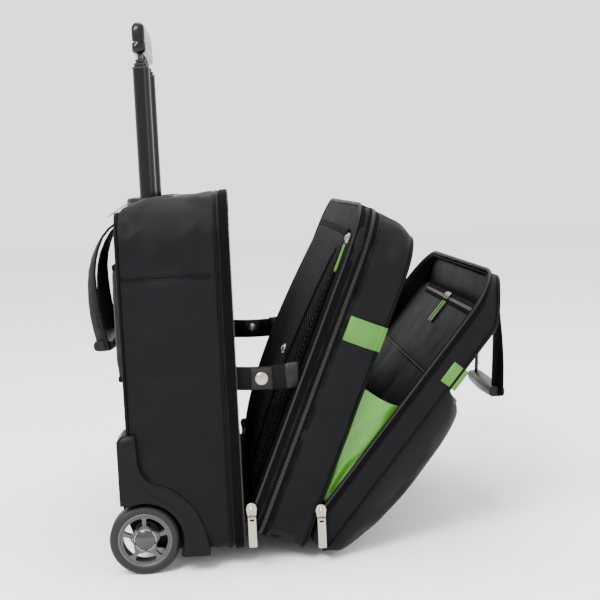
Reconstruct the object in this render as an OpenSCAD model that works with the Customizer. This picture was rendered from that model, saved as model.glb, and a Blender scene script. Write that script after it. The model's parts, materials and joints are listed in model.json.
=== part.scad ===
// Rolling laptop case: a wheeled rear case with a telescopic handle, and two
// compartments that fan open from hinges along the bottom, held by stay straps and gussets.
// +X points forward, out of the front compartment. -Y is the right-hand side. +Z is up.
// The floor is Z = 0, and the origin is under the middle of the opened case's box.

/* [Rear case] */
// Width across the side panels
case_width = 416; // [404:2:428]
// Depth from the back panel to the zip rim
case_depth = 112.5; // [108:0.5:116]
// Height of the underside above the floor
case_floor = 20; // [18:1:22]
// Height of the top panel above the floor
case_top = 376; // [374:1:380]
// Distance of the back panel behind the wheel axle
back_offset = 12; // [11.5:0.5:12.5]
// Thickness of the padded walls
case_wall = 6; // [5:0.5:6]

/* [Middle compartment] */
// Depth of the laptop compartment
middle_depth = 67; // [64:0.5:70]
// Height above its hinge
middle_height = 350; // [340:1:356]
// Angle that the stay straps let it open
middle_open = 22.7; // [20:0.1:24]
// Thickness of its padded walls
middle_wall = 5; // [4:0.5:6]

/* [Front compartment] */
// Depth of the tray at its edges
front_depth = 33; // [31:0.5:35]
// Height above its hinge
front_height = 297; // [292:1:300]
// Angle that the side gussets let it open
front_open = 16.8; // [15.5:0.1:17.5]
// How far the front panel crowns forward at its middle
front_crown = 16; // [12:1:18]

/* [Wheels] */
// Radius of the tyre
wheel_r = 36; // [35:0.5:36]
// Width of the tyre
tyre_w = 22; // [20:0.5:22]
// Radius of the axle
axle_r = 4; // [3.5:0.1:4.5]

/* [Telescopic handle] */
// Distance of each tube from the middle of the case
tube_y = 52; // [48:1:56]
// Outer radius of the lowest moving tube
tube_r = 9.25; // [9:0.05:9.5]
// Length of the lowest tube that stands out of its guide
tube_out = 203; // [190:1:210]
// Length of the grip across the tubes
grip_length = 140; // [134:2:144]

/* [Carry handles] */
// Width of the webbing
webbing_w = 25; // [22:1:26]
// Distance of each webbing strand from the middle of the case
strand_y = 56; // [52:1:60]

/* [Hidden] */
$fn = 64;

// The box of the opened case runs from the rear handle's grip to the front handle's grip
box_back = -60;
box_front = 409.8;
origin_x = (box_back + box_front) / 2;

gap = 0.4;                 // clearance between moving compartments
board_t = 3;               // thickness of the stiff boards
half_w = case_width / 2;
rim_x = case_depth - back_offset;
inner_back = case_wall - back_offset;
top_corner = 40;
bottom_corner = 18;
back_round = 15;           // rounding of the top rear edge
middle_w = case_width - 6;
front_w = case_width - 10;

// Hinges: the rear one in case coordinates, the front one on the middle compartment
hinge_x = rim_x + 0.5;
hinge_z = 41.5;
front_hinge_up = 48;

// Wheels and their housings
wheel_y = half_w - tyre_w / 2 - 1;      // middle plane of a tyre
arch_r = wheel_r + 3.5;
cheek_y = half_w - 30;                  // inner face of a housing
bearing_r = 11;
bearing_w = 7;
rim_r = 26.5;

// Telescopic handle
tube_x = 13.4;
guide_z = 320;                          // top of the guide bezel
tube_wall = 1;
step_r = 1.9;                           // radius step from tube to tube
stage_b_r = tube_r - step_r;
stage_c_r = stage_b_r - step_r - 0.1;
neck_r = 3.1;
fit = 0.08;                             // running clearance of the guide bushes
stage_a_top = guide_z + tube_out;
stage_a_low = guide_z - 48;
stage_b_top = stage_a_top + 4;
stage_b_low = stage_a_low + 18;
stage_c_top = stage_b_top + 4;
stage_c_low = stage_b_low + 8;
grip_z = stage_c_top + 5;               // underside of the grip
grip_h = 36;
grip_d = 14.5;

// Handle garage in the top panel
garage_x = 17.5;
garage_r = 23;
garage_half = 88;

// ---------- helpers ----------

module placed() translate([-origin_x, 0, 0]) children();

module in_middle() translate([hinge_x, 0, hinge_z]) rotate([0, middle_open, 0]) children();

module in_front()
  in_middle() translate([middle_depth + gap, 0, front_hinge_up]) rotate([0, front_open, 0]) children();

// Draws a YZ outline and gives it thickness from x0 to x1
module slab(x0, x1) rotate([90, 0, 90]) translate([0, 0, x0]) linear_extrude(x1 - x0) children();

// Draws an XZ outline and gives it thickness from y0 to y1
module across(y0, y1) translate([0, y1, 0]) rotate([90, 0, 0]) linear_extrude(y1 - y0) children();

module both_sides() {
  children();
  mirror([0, 1, 0]) children();
}

// Rounded outline, centred across, from height z0 to z1
module outline(w, z0, z1, rb, rt) {
  translate([-w / 2 + rb, z0]) square([w - 2 * rb, rb]);
  translate([-w / 2, z0 + rb]) square([w, z1 - z0 - rb - rt]);
  translate([-w / 2 + rt, z1 - rt]) square([w - 2 * rt, rt]);
  for (s = [-1, 1]) {
    translate([s * (w / 2 - rb), z0 + rb]) circle(rb);
    translate([s * (w / 2 - rt), z1 - rt]) circle(rt);
  }
}

// Wall of thickness t that follows the outline
module ring(w, z0, z1, rb, rt, t)
  difference() {
    outline(w, z0, z1, rb, rt);
    outline(w - 2 * t, z0 + t, z1 - t, rb - t, rt - t);
  }

module stadium(half, r) {
  square([2 * r, 2 * (half - r)], center = true);
  for (s = [-1, 1]) translate([0, s * (half - r)]) circle(r);
}

module rod(r, y0, y1, x, z) translate([x, y0, z]) rotate([-90, 0, 0]) cylinder(r = r, h = y1 - y0);

module tube(r_out, r_in, z0, z1)
  for (s = [-1, 1])
    translate([tube_x, s * tube_y, z0])
      difference() {
        cylinder(r = r_out, h = z1 - z0);
        translate([0, 0, -1]) cylinder(r = r_in, h = z1 - z0 + 2);
      }

// ---------- rear case ----------

module case_outline(grow = 0)
  outline(case_width + 2 * grow, case_floor - grow, case_top + grow, bottom_corner + grow, top_corner + grow);

module case_ring(grow, t)
  difference() {
    case_outline(grow);
    case_outline(grow - t);
  }

module housing_outline()
  polygon([
    [-22.5, 140], [-17, 146], [-3.5, 146], [-3.5, 118], [1, 107], [8, 99], [17, 95], [28, 91],
    [42, 80], [54, 66], [62, 48], [65.3, 28], [65.3, 18], [41.5, 18], [0, wheel_r],
    [0, 74], [-22.5, 74]
  ]);

// Room that a housing and its wheel take out of the corner of the case
module housing_space() {
  across(-half_w - 10, -cheek_y) housing_outline();
  rod(arch_r, -half_w - 10, -cheek_y, 0, wheel_r);
}

module top_rear_edge()
  across(-half_w - 3, half_w + 3)
    translate([-back_offset, case_top - back_round])
      difference() {
        translate([-1, 0]) square([back_round + 1, back_round + 5]);
        translate([back_round, 0]) circle(back_round);
      }

module garage_hole()
  translate([garage_x, 0, guide_z - 8]) linear_extrude(case_top) stadium(garage_half, garage_r);

module cut_for_fittings()
  difference() {
    children();
    both_sides() housing_space();
    garage_hole();
    top_rear_edge();
  }

module back_panel() placed()
  color("#26262b") cut_for_fittings() slab(-back_offset, inner_back) case_outline();

module case_band() placed()
  color("#26262b") cut_for_fittings() slab(inner_back, rim_x) case_ring(0, case_wall);

// Stiff boards inside: one on the bottom, one that covers the handle tubes
module case_boards() placed() color("#1f1f22") {
  board_w = 2 * cheek_y - 4;
  board_z = case_floor + case_wall;
  translate([inner_back, -board_w / 2, board_z]) cube([rim_x - inner_back - 5, board_w, board_t]);
  translate([28, -board_w / 2, board_z + board_t])
    cube([board_t, board_w, guide_z - 4 - board_z - board_t]);
}

// Zip tape at the rim, and piping along the front and back edges
module rear_trim() placed()
  color("#141416") cut_for_fittings() {
    slab(rim_x - 9, rim_x) case_ring(1.2, 1.2);
    slab(inner_back - 3, inner_back) case_ring(1.8, 1.8);
    slab(rim_x - 15, rim_x - 12.5) case_ring(1.8, 1.8);
  }

module wheel_housing() {
  y_out = -half_w - 4;
  difference() {
    union() {
      across(y_out, -half_w) housing_outline();
      across(-half_w, -cheek_y - 3) difference() {
        housing_outline();
        offset(delta = -3) housing_outline();
      }
      across(-half_w, -cheek_y - 3) intersection() {
        housing_outline();
        translate([0, wheel_r]) circle(arch_r + 3);
      }
      across(-cheek_y - 3, -cheek_y) {
        housing_outline();
        polygon([[-22.5, 74], [-22.5, 62], [-10, 25], [10, 25], [41.5, 18], [42, 60], [0, 78]]);
      }
    }
    rod(arch_r, y_out - 1, -cheek_y - 3, 0, wheel_r);
    rod(axle_r, -cheek_y - 4, -cheek_y + 1, 0, wheel_r);
  }
}

module wheel_housings() placed() color("#2a2a2c") both_sides() wheel_housing();

module axles() placed()
  color("#9a9a9a") both_sides() {
    rod(axle_r, -wheel_y - tyre_w / 2 + 3, -cheek_y, 0, wheel_r);
    rod(5.8, -cheek_y, -cheek_y + 1.8, 0, wheel_r);
    rod(6, -wheel_y + tyre_w / 2 - 0.1, -cheek_y - 3, 0, wheel_r);
  }

module housing_screws() placed()
  color("#8c8c8c") both_sides()
    for (p = [[4, 86], [56, 30], [44, 66]]) rod(3.5, -cheek_y, -cheek_y + 1.8, p.x, p.y);

module outer_tubes() placed() color("#b8b8ba") tube(11.5, tube_r + 0.4, 44, guide_z - 14);

module tube_base() placed()
  color("#1c1c1e") translate([inner_back, -tube_y - 14, case_floor + case_wall + board_t])
    cube([28 - inner_back, 2 * tube_y + 28, 44 - case_floor - case_wall - board_t]);

module tube_bezel() placed()
  color("#1c1c1e") difference() {
    union() {
      translate([tube_x - 12.5, -tube_y - 14, guide_z - 14]) cube([25, 2 * tube_y + 28, 10]);
      for (s = [-1, 1]) translate([tube_x, s * tube_y, guide_z - 14]) cylinder(r = 12.4, h = 14);
    }
    for (s = [-1, 1])
      translate([tube_x, s * tube_y, guide_z - 15]) cylinder(r = tube_r + fit, h = 16);
  }

module garage_lining() placed()
  color("#8fd07a") difference() {
    translate([garage_x, 0, guide_z - 4]) linear_extrude(case_top - guide_z + 4)
      stadium(garage_half, garage_r);
    translate([garage_x, 0, guide_z - 2.5]) linear_extrude(case_top)
      stadium(garage_half - 1.5, garage_r - 1.5);
    for (s = [-1, 1]) translate([tube_x, s * tube_y, guide_z - 5]) cylinder(r = 12.5, h = 4);
    top_rear_edge();
  }

module garage_rim() placed()
  color("#101012") translate([garage_x, 0, case_top]) linear_extrude(4) difference() {
    stadium(garage_half + 2, garage_r + 2);
    stadium(garage_half - 1.5, garage_r - 1.5);
  }

module luggage_sleeve() placed()
  color("#232327") translate([-back_offset - 12, -150, 190])
    difference() {
      cube([12, 300, 121]);
      translate([2, 8, -1]) cube([8, 284, 123]);
    }

// Zip slider, flat against a side panel at the end of its zip
module slider(x, z, y) {
  rod(5.5, y - 3.2, y, x, z);
  translate([x - 2, y - 5.2, z - 5.5]) cube([4, 2, 7.5]);
}

// Handle tabs, the zip sliders at the hinge and the garage's slider
module rear_fittings() placed() {
  color("#101012") for (s = [-1, 1])
    translate([-back_offset - 2.5, s * strand_y - webbing_w / 2, 330]) cube([2.5, webbing_w, 30]);
  color("#d8d4cc") both_sides() slider(hinge_x + 7.5, 62, -half_w - 1.2);
  color("#d8d4cc") translate([-back_offset - 1.7, -4, case_top - 4]) cube([6, 8, 4]);
}

// Fabric web between the rear case and the middle compartment, above their hinge
module hinge_web() placed()
  color("#26262b") across(-half_w + 8, half_w - 8)
    polygon([[rim_x + 0.1, hinge_z + 2], [rim_x + 0.1, 58], [rim_x + 6.4, 58]]);

// ---------- telescopic handle ----------

module stage_a_tubes() placed() color("#1b1b1e") tube(tube_r, tube_r - tube_wall, stage_a_low, stage_a_top);

module stage_a_bushes() placed()
  color("#0e0e10") tube(tube_r - tube_wall, stage_b_r + fit, stage_a_top - 16, stage_a_top);

module stage_b_tubes() placed()
  color("#232326") tube(stage_b_r, stage_b_r - tube_wall, stage_b_low, stage_b_top);

module stage_b_bushes() placed()
  color("#0e0e10") tube(stage_b_r - tube_wall, stage_c_r + fit, stage_b_top - 16, stage_b_top);

module stage_c_tubes() placed()
  color("#2a2a2e") tube(stage_c_r, stage_c_r - tube_wall, stage_c_low, stage_c_top);

module grip_section() {
  translate([-grip_d / 2, 0]) square([grip_d, grip_h - grip_d / 2]);
  translate([0, grip_h - grip_d / 2]) circle(grip_d / 2);
}

module grip_body() placed()
  color("#1a1a1c") difference() {
    across(-grip_length / 2, grip_length / 2) translate([tube_x, grip_z]) grip_section();
    translate([tube_x - 4.4, -20.4, grip_z + 18]) cube([8.8, 40.8, 40]);
    for (s = [-1, 1]) translate([tube_x, s * tube_y, grip_z - 1]) cylinder(r = neck_r, h = 21);
  }

module grip_necks() placed() color("#6e6e72") {
  tube(neck_r, 1.6, stage_c_top - 12, grip_z + 20);
  tube(stage_c_r - tube_wall, neck_r, stage_c_top - 12, stage_c_top);
}

module release_button() placed()
  color("#55565a") translate([tube_x - 4, -20, grip_z + 24]) cube([8, 40, 13.5]);

// ---------- wheels ----------

module spoke_holes()
  for (k = [0 : 4]) rotate(k * 72 + 54) offset(r = 2) offset(delta = -2) difference() {
    intersection() {
      difference() {
        circle(23);
        circle(12.5);
      }
      polygon([[2, 0], [40, 25], [40, -25]]);
    }
  }

module wheel_rim() {
  y0 = -wheel_y - tyre_w / 2 + 2;
  y1 = -wheel_y + tyre_w / 2 - 2;
  difference() {
    union() {
      rod(rim_r, y0, y1, 0, wheel_r);
      rod(14, y0, y1 + 1.5, 0, wheel_r);
    }
    difference() {
      rod(rim_r - 3, y0 + 6, y1 + 1, 0, wheel_r);
      rod(14, y0 + 5, y1 + 2, 0, wheel_r);
    }
    across(y0 - 1, y1 + 1) translate([0, wheel_r]) spoke_holes();
    rod(bearing_r, y0 - 1, y0 + bearing_w, 0, wheel_r);
    rod(bearing_r - 1.5, y0, y1 + 2, 0, wheel_r);
    rod(bearing_r, y1 + 1.5 - bearing_w, y1 + 2, 0, wheel_r);
  }
}

module tyre()
  translate([0, -wheel_y, wheel_r]) rotate([90, 0, 0]) rotate_extrude() {
    translate([rim_r, -tyre_w / 2]) square([wheel_r - rim_r - 4, tyre_w]);
    translate([wheel_r - 4, -tyre_w / 2 + 4]) square([4, tyre_w - 8]);
    for (s = [-1, 1]) translate([wheel_r - 4, s * (tyre_w / 2 - 4)]) circle(4);
  }

module bearings() {
  y0 = -wheel_y - tyre_w / 2 + 2;
  y1 = -wheel_y + tyre_w / 2 - 0.5;
  for (y = [y0, y1 - bearing_w]) difference() {
    rod(bearing_r, y, y + bearing_w, 0, wheel_r);
    rod(axle_r + 0.03, y - 1, y + bearing_w + 1, 0, wheel_r);
  }
}

module hub_cap()
  translate([0, -wheel_y - tyre_w / 2 + 2, wheel_r]) rotate([90, 0, 0])
    rotate_extrude($fn = 128) intersection() {
      translate([0, -17.5]) circle(20.5, $fn = 256);
      square([12, 10]);
    }

module rim_right() placed() color("#77777b") wheel_rim();
module rim_left() placed() color("#77777b") mirror([0, 1, 0]) wheel_rim();
module tyre_right() placed() color("#111111") tyre();
module tyre_left() placed() color("#111111") mirror([0, 1, 0]) tyre();
module bearings_right() placed() color("#b0b0b0") bearings();
module bearings_left() placed() color("#b0b0b0") mirror([0, 1, 0]) bearings();
module hub_cap_right() placed() color("#5c5c60") hub_cap();
module hub_cap_left() placed() color("#5c5c60") mirror([0, 1, 0]) hub_cap();

// ---------- middle compartment, drawn upright on its hinge ----------

module middle_outline(grow = 0)
  outline(middle_w + 2 * grow, -2 - grow, middle_height + grow, bottom_corner + grow, top_corner + grow);

module middle_ring(grow, t)
  difference() {
    middle_outline(grow);
    middle_outline(grow - t);
  }

module middle_heel() across(-half_w - 9, half_w + 9) polygon([[-1, -6], [16, -6], [-1, 11]]);

module middle_rear_panel() placed() in_middle()
  color("#222226") difference() {
    slab(gap, gap + middle_wall) middle_outline();
    middle_heel();
  }

module middle_band() placed() in_middle()
  color("#29292e") difference() {
    slab(gap + middle_wall, middle_depth - middle_wall) middle_ring(0, middle_wall);
    middle_heel();
  }

module middle_front_panel() placed() in_middle()
  color("#222226") slab(middle_depth - middle_wall, middle_depth) middle_outline();

module laptop_divider() placed() in_middle()
  color("#55565c") slab(30, 34) outline(middle_w - 2 * middle_wall - 8, 6, 290, 12, 24);

module mesh_profile()
  polygon([
    [0, 30], [-16, 48], [-21, 90], [-19, 160], [-13, 230], [-7, 300], [-3, 318], [0, 320]
  ]);

module mesh_pocket() placed() in_middle()
  color("#0c0c0e") translate([gap, 0, 0]) difference() {
    across(-170, 170) mesh_profile();
    across(-167, 167) translate([2, 2]) scale([0.94, 0.96]) mesh_profile();
  }

// Zip tape at the rear rim, the laptop zip, and piping beside them
module middle_trim() placed() in_middle()
  color("#141416") difference() {
    union() {
      slab(gap, 7) middle_ring(1.2, 1.2);
      slab(14, 22) middle_ring(1.2, 1.2);
      slab(26, 28) middle_ring(1.8, 1.8);
      slab(middle_depth - 5, middle_depth - 2.5) middle_ring(1.8, 1.8);
    }
    middle_heel();
  }

// Green bands across the sides, the laptop zip's slider and the mesh pocket's slider
module middle_fittings() placed() in_middle() {
  color("#7fcf6a") both_sides() translate([29, -middle_w / 2 - 1.2, 216]) cube([32, 1.2, 26]);
  color("#d8d4cc") translate([-2.6, -middle_w / 2 + 13, 308]) cube([3, 7, 10]);
  color("#d8d4cc") translate([-19.9, -150, 176]) cube([2.4, 7, 10]);
}

module stay_straps() placed()
  color("#101012") both_sides()
    across(-half_w + 8.6, -half_w + 10.4)
      polygon([[rim_x + 0.4, 183], [hinge_x + 58, 183], [hinge_x + 68, 207], [rim_x + 0.4, 209]]);

module strap_snaps() placed()
  color("#d8d4cc") both_sides() {
    rod(6.8, -half_w + 6.4, -half_w + 8.6, 125.9, 195.7);
    rod(5.8, -half_w + 10.4, -half_w + 12.6, 125.9, 195.7);
  }

module side_gussets() placed() in_middle()
  color("#8fd07a") both_sides() across(-front_w / 2 + 6, -front_w / 2 + 7)
    polygon([[middle_depth + 0.2, 51], [middle_depth + 0.2, 176], [middle_depth + 36, 170.6]]);

// ---------- front compartment, drawn upright on its hinge ----------

module front_outline(grow = 0)
  outline(front_w + 2 * grow, -38 - grow, front_height + grow, 14 + grow, top_corner + grow);

module front_ring(grow, t)
  difference() {
    front_outline(grow);
    front_outline(grow - t);
  }

module front_heel() across(-half_w - 9, half_w + 9) polygon([[-1, 1], [gap, 1], [13.4, -42], [-1, -42]]);

module front_band() placed() in_front()
  color("#29292e") difference() {
    slab(gap, front_depth - 5) front_ring(0, 4);
    front_heel();
  }

module front_panel() placed() in_front()
  color("#29292e") {
    slab(front_depth - 5, front_depth) front_outline();
    translate([front_depth, 0, 176]) linear_extrude(108)
      polygon([[0, -188], [front_crown * 0.7, -110], [front_crown, -50],
               [front_crown, 50], [front_crown * 0.7, 110], [0, 188]]);
  }

module organiser() placed() in_front()
  color("#1d1d20") {
    slab(19, 22) outline(front_w - 8.6, 2, 262, 10, 30);
    slab(12, 15) outline(front_w - 30, 6, 170, 10, 30);
    translate([15, -front_w / 2 + 15, 6]) cube([4, front_w - 30, 3]);
    translate([22, -front_w / 2 + 15, 6]) cube([front_depth - 27, front_w - 30, 3]);
  }

module front_trim() placed() in_front()
  color("#141416") difference() {
    union() {
      slab(gap, 8) front_ring(1.2, 1.2);
      slab(front_depth - 5, front_depth - 2.5) front_ring(1.8, 1.8);
    }
    front_heel();
  }

module pocket_profile(t)
  polygon([
    [0, -33 + t], [12, -34 + t], [16 - t, -30 + t], [20 - t, 20], [21 - t, 90], [16 - t, 148],
    [11.5 - t, 162 - t], [5 - t, 172 - t], [0, 172 - t]
  ]);

module front_pocket() placed() in_front()
  color("#2d2d32") translate([front_depth, 0, 0]) difference() {
    across(-front_w / 2 + 3, front_w / 2 - 3) pocket_profile(0);
    across(-front_w / 2 + 6, front_w / 2 - 6) translate([-0.01, 0]) pocket_profile(3);
  }

// Wear strip under the front pocket: the opened case rests on its flat underside
module front_bumper() placed()
  color("#1c1c1e") across(-150, 150)
    polygon([[193, 0], [203, 0], [207, 12], [200.6, 5.3], [194.8, 4.8], [188, 11.3], [186.5, 8.5]]);

// Green side tabs, handle tabs, and the sliders of the rim zip and the organiser
module front_fittings() placed() {
  color("#7fcf6a") in_front() both_sides()
    translate([18.5, -front_w / 2 - 1.2, 175]) cube([9.5, 1.2, 24]);
  color("#101012") in_front() for (s = [-1, 1])
    translate([front_depth + front_crown, s * strand_y - webbing_w / 2, 258])
      cube([3, webbing_w, 24]);
  color("#d8d4cc") in_front() both_sides() slider(0.5, -1, -front_w / 2 - 4.2);
  color("#d8d4cc") in_front() for (s = [-1, 1]) translate([16.4, s * 6 - 3, 250]) cube([2.6, 6, 9]);
}

// ---------- carry handles ----------

module rear_handle_webbing() placed()
  color("#101012") both_sides() across(-strand_y - webbing_w / 2, -strand_y + webbing_w / 2)
    polygon([
      [-15, 362], [-16, 359.5], [-32, 350], [-46, 330], [-55, 300], [-54, 255], [-46, 213],
      [-44, 213], [-51.5, 255], [-52.5, 300], [-44, 329], [-30.5, 348], [-15, 357.5], [-14.8, 360]
    ]);

module rear_handle_grip() placed()
  color("#3a3a3d") translate([-60, -strand_y + webbing_w / 2, 209])
    cube([26, 2 * strand_y - webbing_w, 7]);

module front_handle_webbing() placed()
  color("#101012") both_sides() across(-strand_y - webbing_w / 2, -strand_y + webbing_w / 2)
    polygon([[400, 238], [402.4, 238], [403, 190], [401.2, 136], [398.8, 136], [400.6, 190]]);

module front_handle_grip() placed()
  color("#3a3a3d") translate([388, -strand_y + webbing_w / 2, 132])
    cube([box_front - 388, 2 * strand_y - webbing_w, 7]);

// ---------- zip pulls ----------

module pull_plate(x, z, y)
  across(y - 1.8, y) translate([x, z]) difference() {
    translate([-4.2, -31]) square([8.4, 31]);
    translate([-2.2, -4]) square([4.4, 2.2]);
  }

module rear_pull_right() placed() color("#d8d4cc") pull_plate(hinge_x + 8, 56, -half_w - 6.6);
module rear_pull_left() placed()
  color("#d8d4cc") mirror([0, 1, 0]) pull_plate(hinge_x + 8, 56, -half_w - 6.6);
module front_pull_right() placed() color("#d8d4cc") pull_plate(179.5, 50, -front_w / 2 - 9.6);
module front_pull_left() placed()
  color("#d8d4cc") mirror([0, 1, 0]) pull_plate(179.5, 50, -front_w / 2 - 9.6);

// Metal pull that lies over the top rear edge
module garage_pull() placed()
  color("#d8d4cc") translate([-14.4, 0, case_top - 2]) rotate([0, -32, 0])
    translate([-28, -4.2, -0.9]) cube([28, 8.4, 1.8]);

module leather_pull() across(-4, 4) polygon([[0, 0], [1.6, 0], [1.6, -30], [0, -30]]);

module middle_pull() placed() in_middle()
  color("#7fcf6a") translate([-3.2, -middle_w / 2 + 16.5, 307]) leather_pull();

module organiser_pull(side) in_front() translate([17, side * 6, 249]) leather_pull();

module organiser_pull_right() placed() color("#7fcf6a") organiser_pull(-1);
module organiser_pull_left() placed() color("#7fcf6a") organiser_pull(1);

back_panel();
case_band();
case_boards();
rear_trim();
wheel_housings();
axles();
housing_screws();
outer_tubes();
tube_base();
tube_bezel();
garage_lining();
garage_rim();
luggage_sleeve();
rear_fittings();
hinge_web();
stage_a_tubes();
stage_a_bushes();
stage_b_tubes();
stage_b_bushes();
stage_c_tubes();
grip_body();
grip_necks();
release_button();
rim_right();
tyre_right();
bearings_right();
hub_cap_right();
rim_left();
tyre_left();
bearings_left();
hub_cap_left();
middle_rear_panel();
middle_band();
middle_front_panel();
laptop_divider();
mesh_pocket();
middle_trim();
middle_fittings();
stay_straps();
strap_snaps();
side_gussets();
front_band();
front_panel();
organiser();
front_trim();
front_pocket();
front_bumper();
front_fittings();
rear_handle_webbing();
rear_handle_grip();
front_handle_webbing();
front_handle_grip();
rear_pull_right();
rear_pull_left();
front_pull_right();
front_pull_left();
garage_pull();
middle_pull();
organiser_pull_right();
organiser_pull_left();
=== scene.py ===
# %% [markdown]
# # A rolling laptop case, standing fanned open
#
# The case is three soft boxes that share hinges along the bottom: a wheeled rear case with a
# telescopic handle, a laptop compartment, and a thin organiser compartment in front. The CAD
# frame already holds every hard part at its real size. This script dresses the frame: it builds
# the padded cloth, webbing, leather, net and zips around it, and gives every part its finish.

# %% Load the frame
import json
import math

import bmesh
import bpy
from mathutils import Matrix, Vector, noise
from mathutils.bvhtree import BVHTree


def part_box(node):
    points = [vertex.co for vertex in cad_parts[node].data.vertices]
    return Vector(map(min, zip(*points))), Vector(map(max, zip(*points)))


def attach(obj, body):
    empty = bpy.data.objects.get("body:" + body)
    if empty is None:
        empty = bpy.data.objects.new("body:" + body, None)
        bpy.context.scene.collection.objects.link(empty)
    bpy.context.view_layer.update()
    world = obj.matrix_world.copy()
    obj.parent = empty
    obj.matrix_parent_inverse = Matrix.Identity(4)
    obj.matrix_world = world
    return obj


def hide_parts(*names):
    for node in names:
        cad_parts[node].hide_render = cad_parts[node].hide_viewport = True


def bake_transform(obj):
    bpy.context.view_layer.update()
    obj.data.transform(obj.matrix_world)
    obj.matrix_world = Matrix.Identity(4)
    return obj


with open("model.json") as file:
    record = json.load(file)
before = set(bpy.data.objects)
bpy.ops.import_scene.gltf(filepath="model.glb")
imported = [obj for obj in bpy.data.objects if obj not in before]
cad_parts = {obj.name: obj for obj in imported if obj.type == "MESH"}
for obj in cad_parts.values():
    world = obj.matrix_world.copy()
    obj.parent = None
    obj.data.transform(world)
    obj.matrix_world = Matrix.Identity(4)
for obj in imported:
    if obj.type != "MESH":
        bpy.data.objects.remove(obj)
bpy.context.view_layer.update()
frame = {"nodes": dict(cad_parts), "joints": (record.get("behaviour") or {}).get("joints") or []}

# %% [markdown]
# ## Three drawing boards
#
# Each compartment is easiest to draw upright, in millimetres, from its own hinge. The joints
# say where those hinges are and how far the compartments stand open, so three matrices carry a
# drawing from its board to its place: no other number in the script knows about the tilt.

# %% Boards for the three compartments
MM = 0.001
JOINTS = {joint["name"]: joint for joint in frame["joints"]}
MIDDLE_OPEN = -JOINTS["middle_tilt"]["range_deg"][0]
FRONT_OPEN = -JOINTS["front_tilt"]["range_deg"][0]


def board(joint, degrees):
    """Matrix of a board that starts on a joint and leans forward by so many degrees."""
    return Matrix.Translation(JOINTS[joint]["pos_m"]) @ Matrix.Rotation(math.radians(degrees), 4, "Y")


AXLE = Vector(JOINTS["wheel_right_spin"]["pos_m"])
CASE = Matrix.Translation((AXLE.x, 0, 0))
MIDDLE = board("middle_tilt", MIDDLE_OPEN)
FRONT = board("front_tilt", MIDDLE_OPEN + FRONT_OPEN)


def span(node, axis):
    """Lowest and highest coordinate of a CAD node along one axis, in millimetres."""
    low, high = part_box(node)
    return low[axis] / MM, high[axis] / MM


CASE_HALF = span("back_panel", 1)[1]
CASE_LOW, CASE_HIGH = 20.0, 376.0
RIM_X = 100.5
BACK_X = -12.0
BACK_ROUND = 15.0
MIDDLE_HALF = CASE_HALF - 3
MIDDLE_DEEP = 67.0
MIDDLE_HIGH = 350.0
FRONT_HALF = CASE_HALF - 5
FRONT_DEEP = 33.0
FRONT_HIGH = 297.0
print("half width", CASE_HALF, "open", MIDDLE_OPEN, FRONT_OPEN)

# %% [markdown]
# ## Helpers for mesh
#
# Nearly every soft part here is a grid of points or a flat section carried along a path.
# Writing those two ideas once keeps each piece short. A piece is drawn on a board, moved to its
# place, and told which body it rides on and which finish it takes.

# %% Grids and sweeps
def grid_faces(rows, columns, wrap=False, join=False):
    """Quads between rows of points. wrap joins each row's ends, join ties the last row to the first."""
    faces = []
    for i in range(rows if join else rows - 1):
        below, above = i * columns, ((i + 1) % rows) * columns
        for j in range(columns if wrap else columns - 1):
            k = (j + 1) % columns
            faces.append((below + j, below + k, above + k, above + j))
    return faces


def sweep(path, section, closed=False, side=None, twist=None):
    """Carries a section along a path. side is the direction of the section's first axis."""
    path = [Vector(point) for point in path]
    count = len(path)
    across = Vector(side) if side is not None else None
    points = []
    for i, point in enumerate(path):
        ahead = path[(i + 1) % count] if closed or i < count - 1 else point
        behind = path[i - 1] if closed or i > 0 else point
        along = (ahead - behind).normalized()
        if across is None:
            across = along.orthogonal()
        u = (across - across.dot(along) * along).normalized()
        if side is None:
            across = u
        v = along.cross(u)
        if twist:
            turn = Matrix.Rotation(twist(i / (count - 1)), 3, along)
            u, v = turn @ u, turn @ v
        points += [point + a * u + b * v for a, b in section]
    size = len(section)
    faces = grid_faces(count, size, wrap=True, join=closed)
    if not closed:
        faces.append(tuple(range(size))[::-1])
        faces.append(tuple((count - 1) * size + k for k in range(size)))
    return points, faces


def disc(radius, sides=10):
    return [(radius * math.cos(2 * math.pi * k / sides), radius * math.sin(2 * math.pi * k / sides))
            for k in range(sides)]


def slat(width, thick, round_off=0.35):
    """Section of a strap: a flat bar with softened edges."""
    w, t, r = width / 2, thick / 2, round_off * thick
    return [(w, -t + r), (w, t - r), (w - r, t), (0, t), (-w + r, t), (-w, t - r), (-w, -t + r),
            (-w + r, -t), (0, -t), (w - r, -t)]


print("a 3 by 4 grid has", len(grid_faces(3, 4)), "faces")

# %% Joining parts, blocks and stitches
def merge(*parts):
    """Joins several (points, faces) into one."""
    points, faces = [], []
    for more_points, more_faces in parts:
        start = len(points)
        points += list(more_points)
        faces += [tuple(start + k for k in face) for face in more_faces]
    return points, faces


def block(center, size, turn=None):
    """A small box, for one tooth or one stitch."""
    corners = [Vector((x * size[0], y * size[1], z * size[2])) / 2
               for x in (-1, 1) for y in (-1, 1) for z in (-1, 1)]
    if turn is not None:
        corners = [turn @ corner for corner in corners]
    faces = [(0, 1, 3, 2), (4, 6, 7, 5), (0, 4, 5, 1), (2, 3, 7, 6), (0, 2, 6, 4), (1, 5, 7, 3)]
    return [Vector(center) + corner for corner in corners], faces


def stitch_line(start, end, pitch, size, normal):
    """Short threads in a row, lying on a surface with that normal."""
    start, end = Vector(start), Vector(end)
    course = (end - start).normalized()
    across = Vector(normal).cross(course).normalized()
    turn = Matrix((course, across, Vector(normal))).transposed()
    count = max(1, int((end - start).length / pitch))
    return merge(*[block(start.lerp(end, (k + 0.5) / count), size, turn) for k in range(count)])


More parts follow.
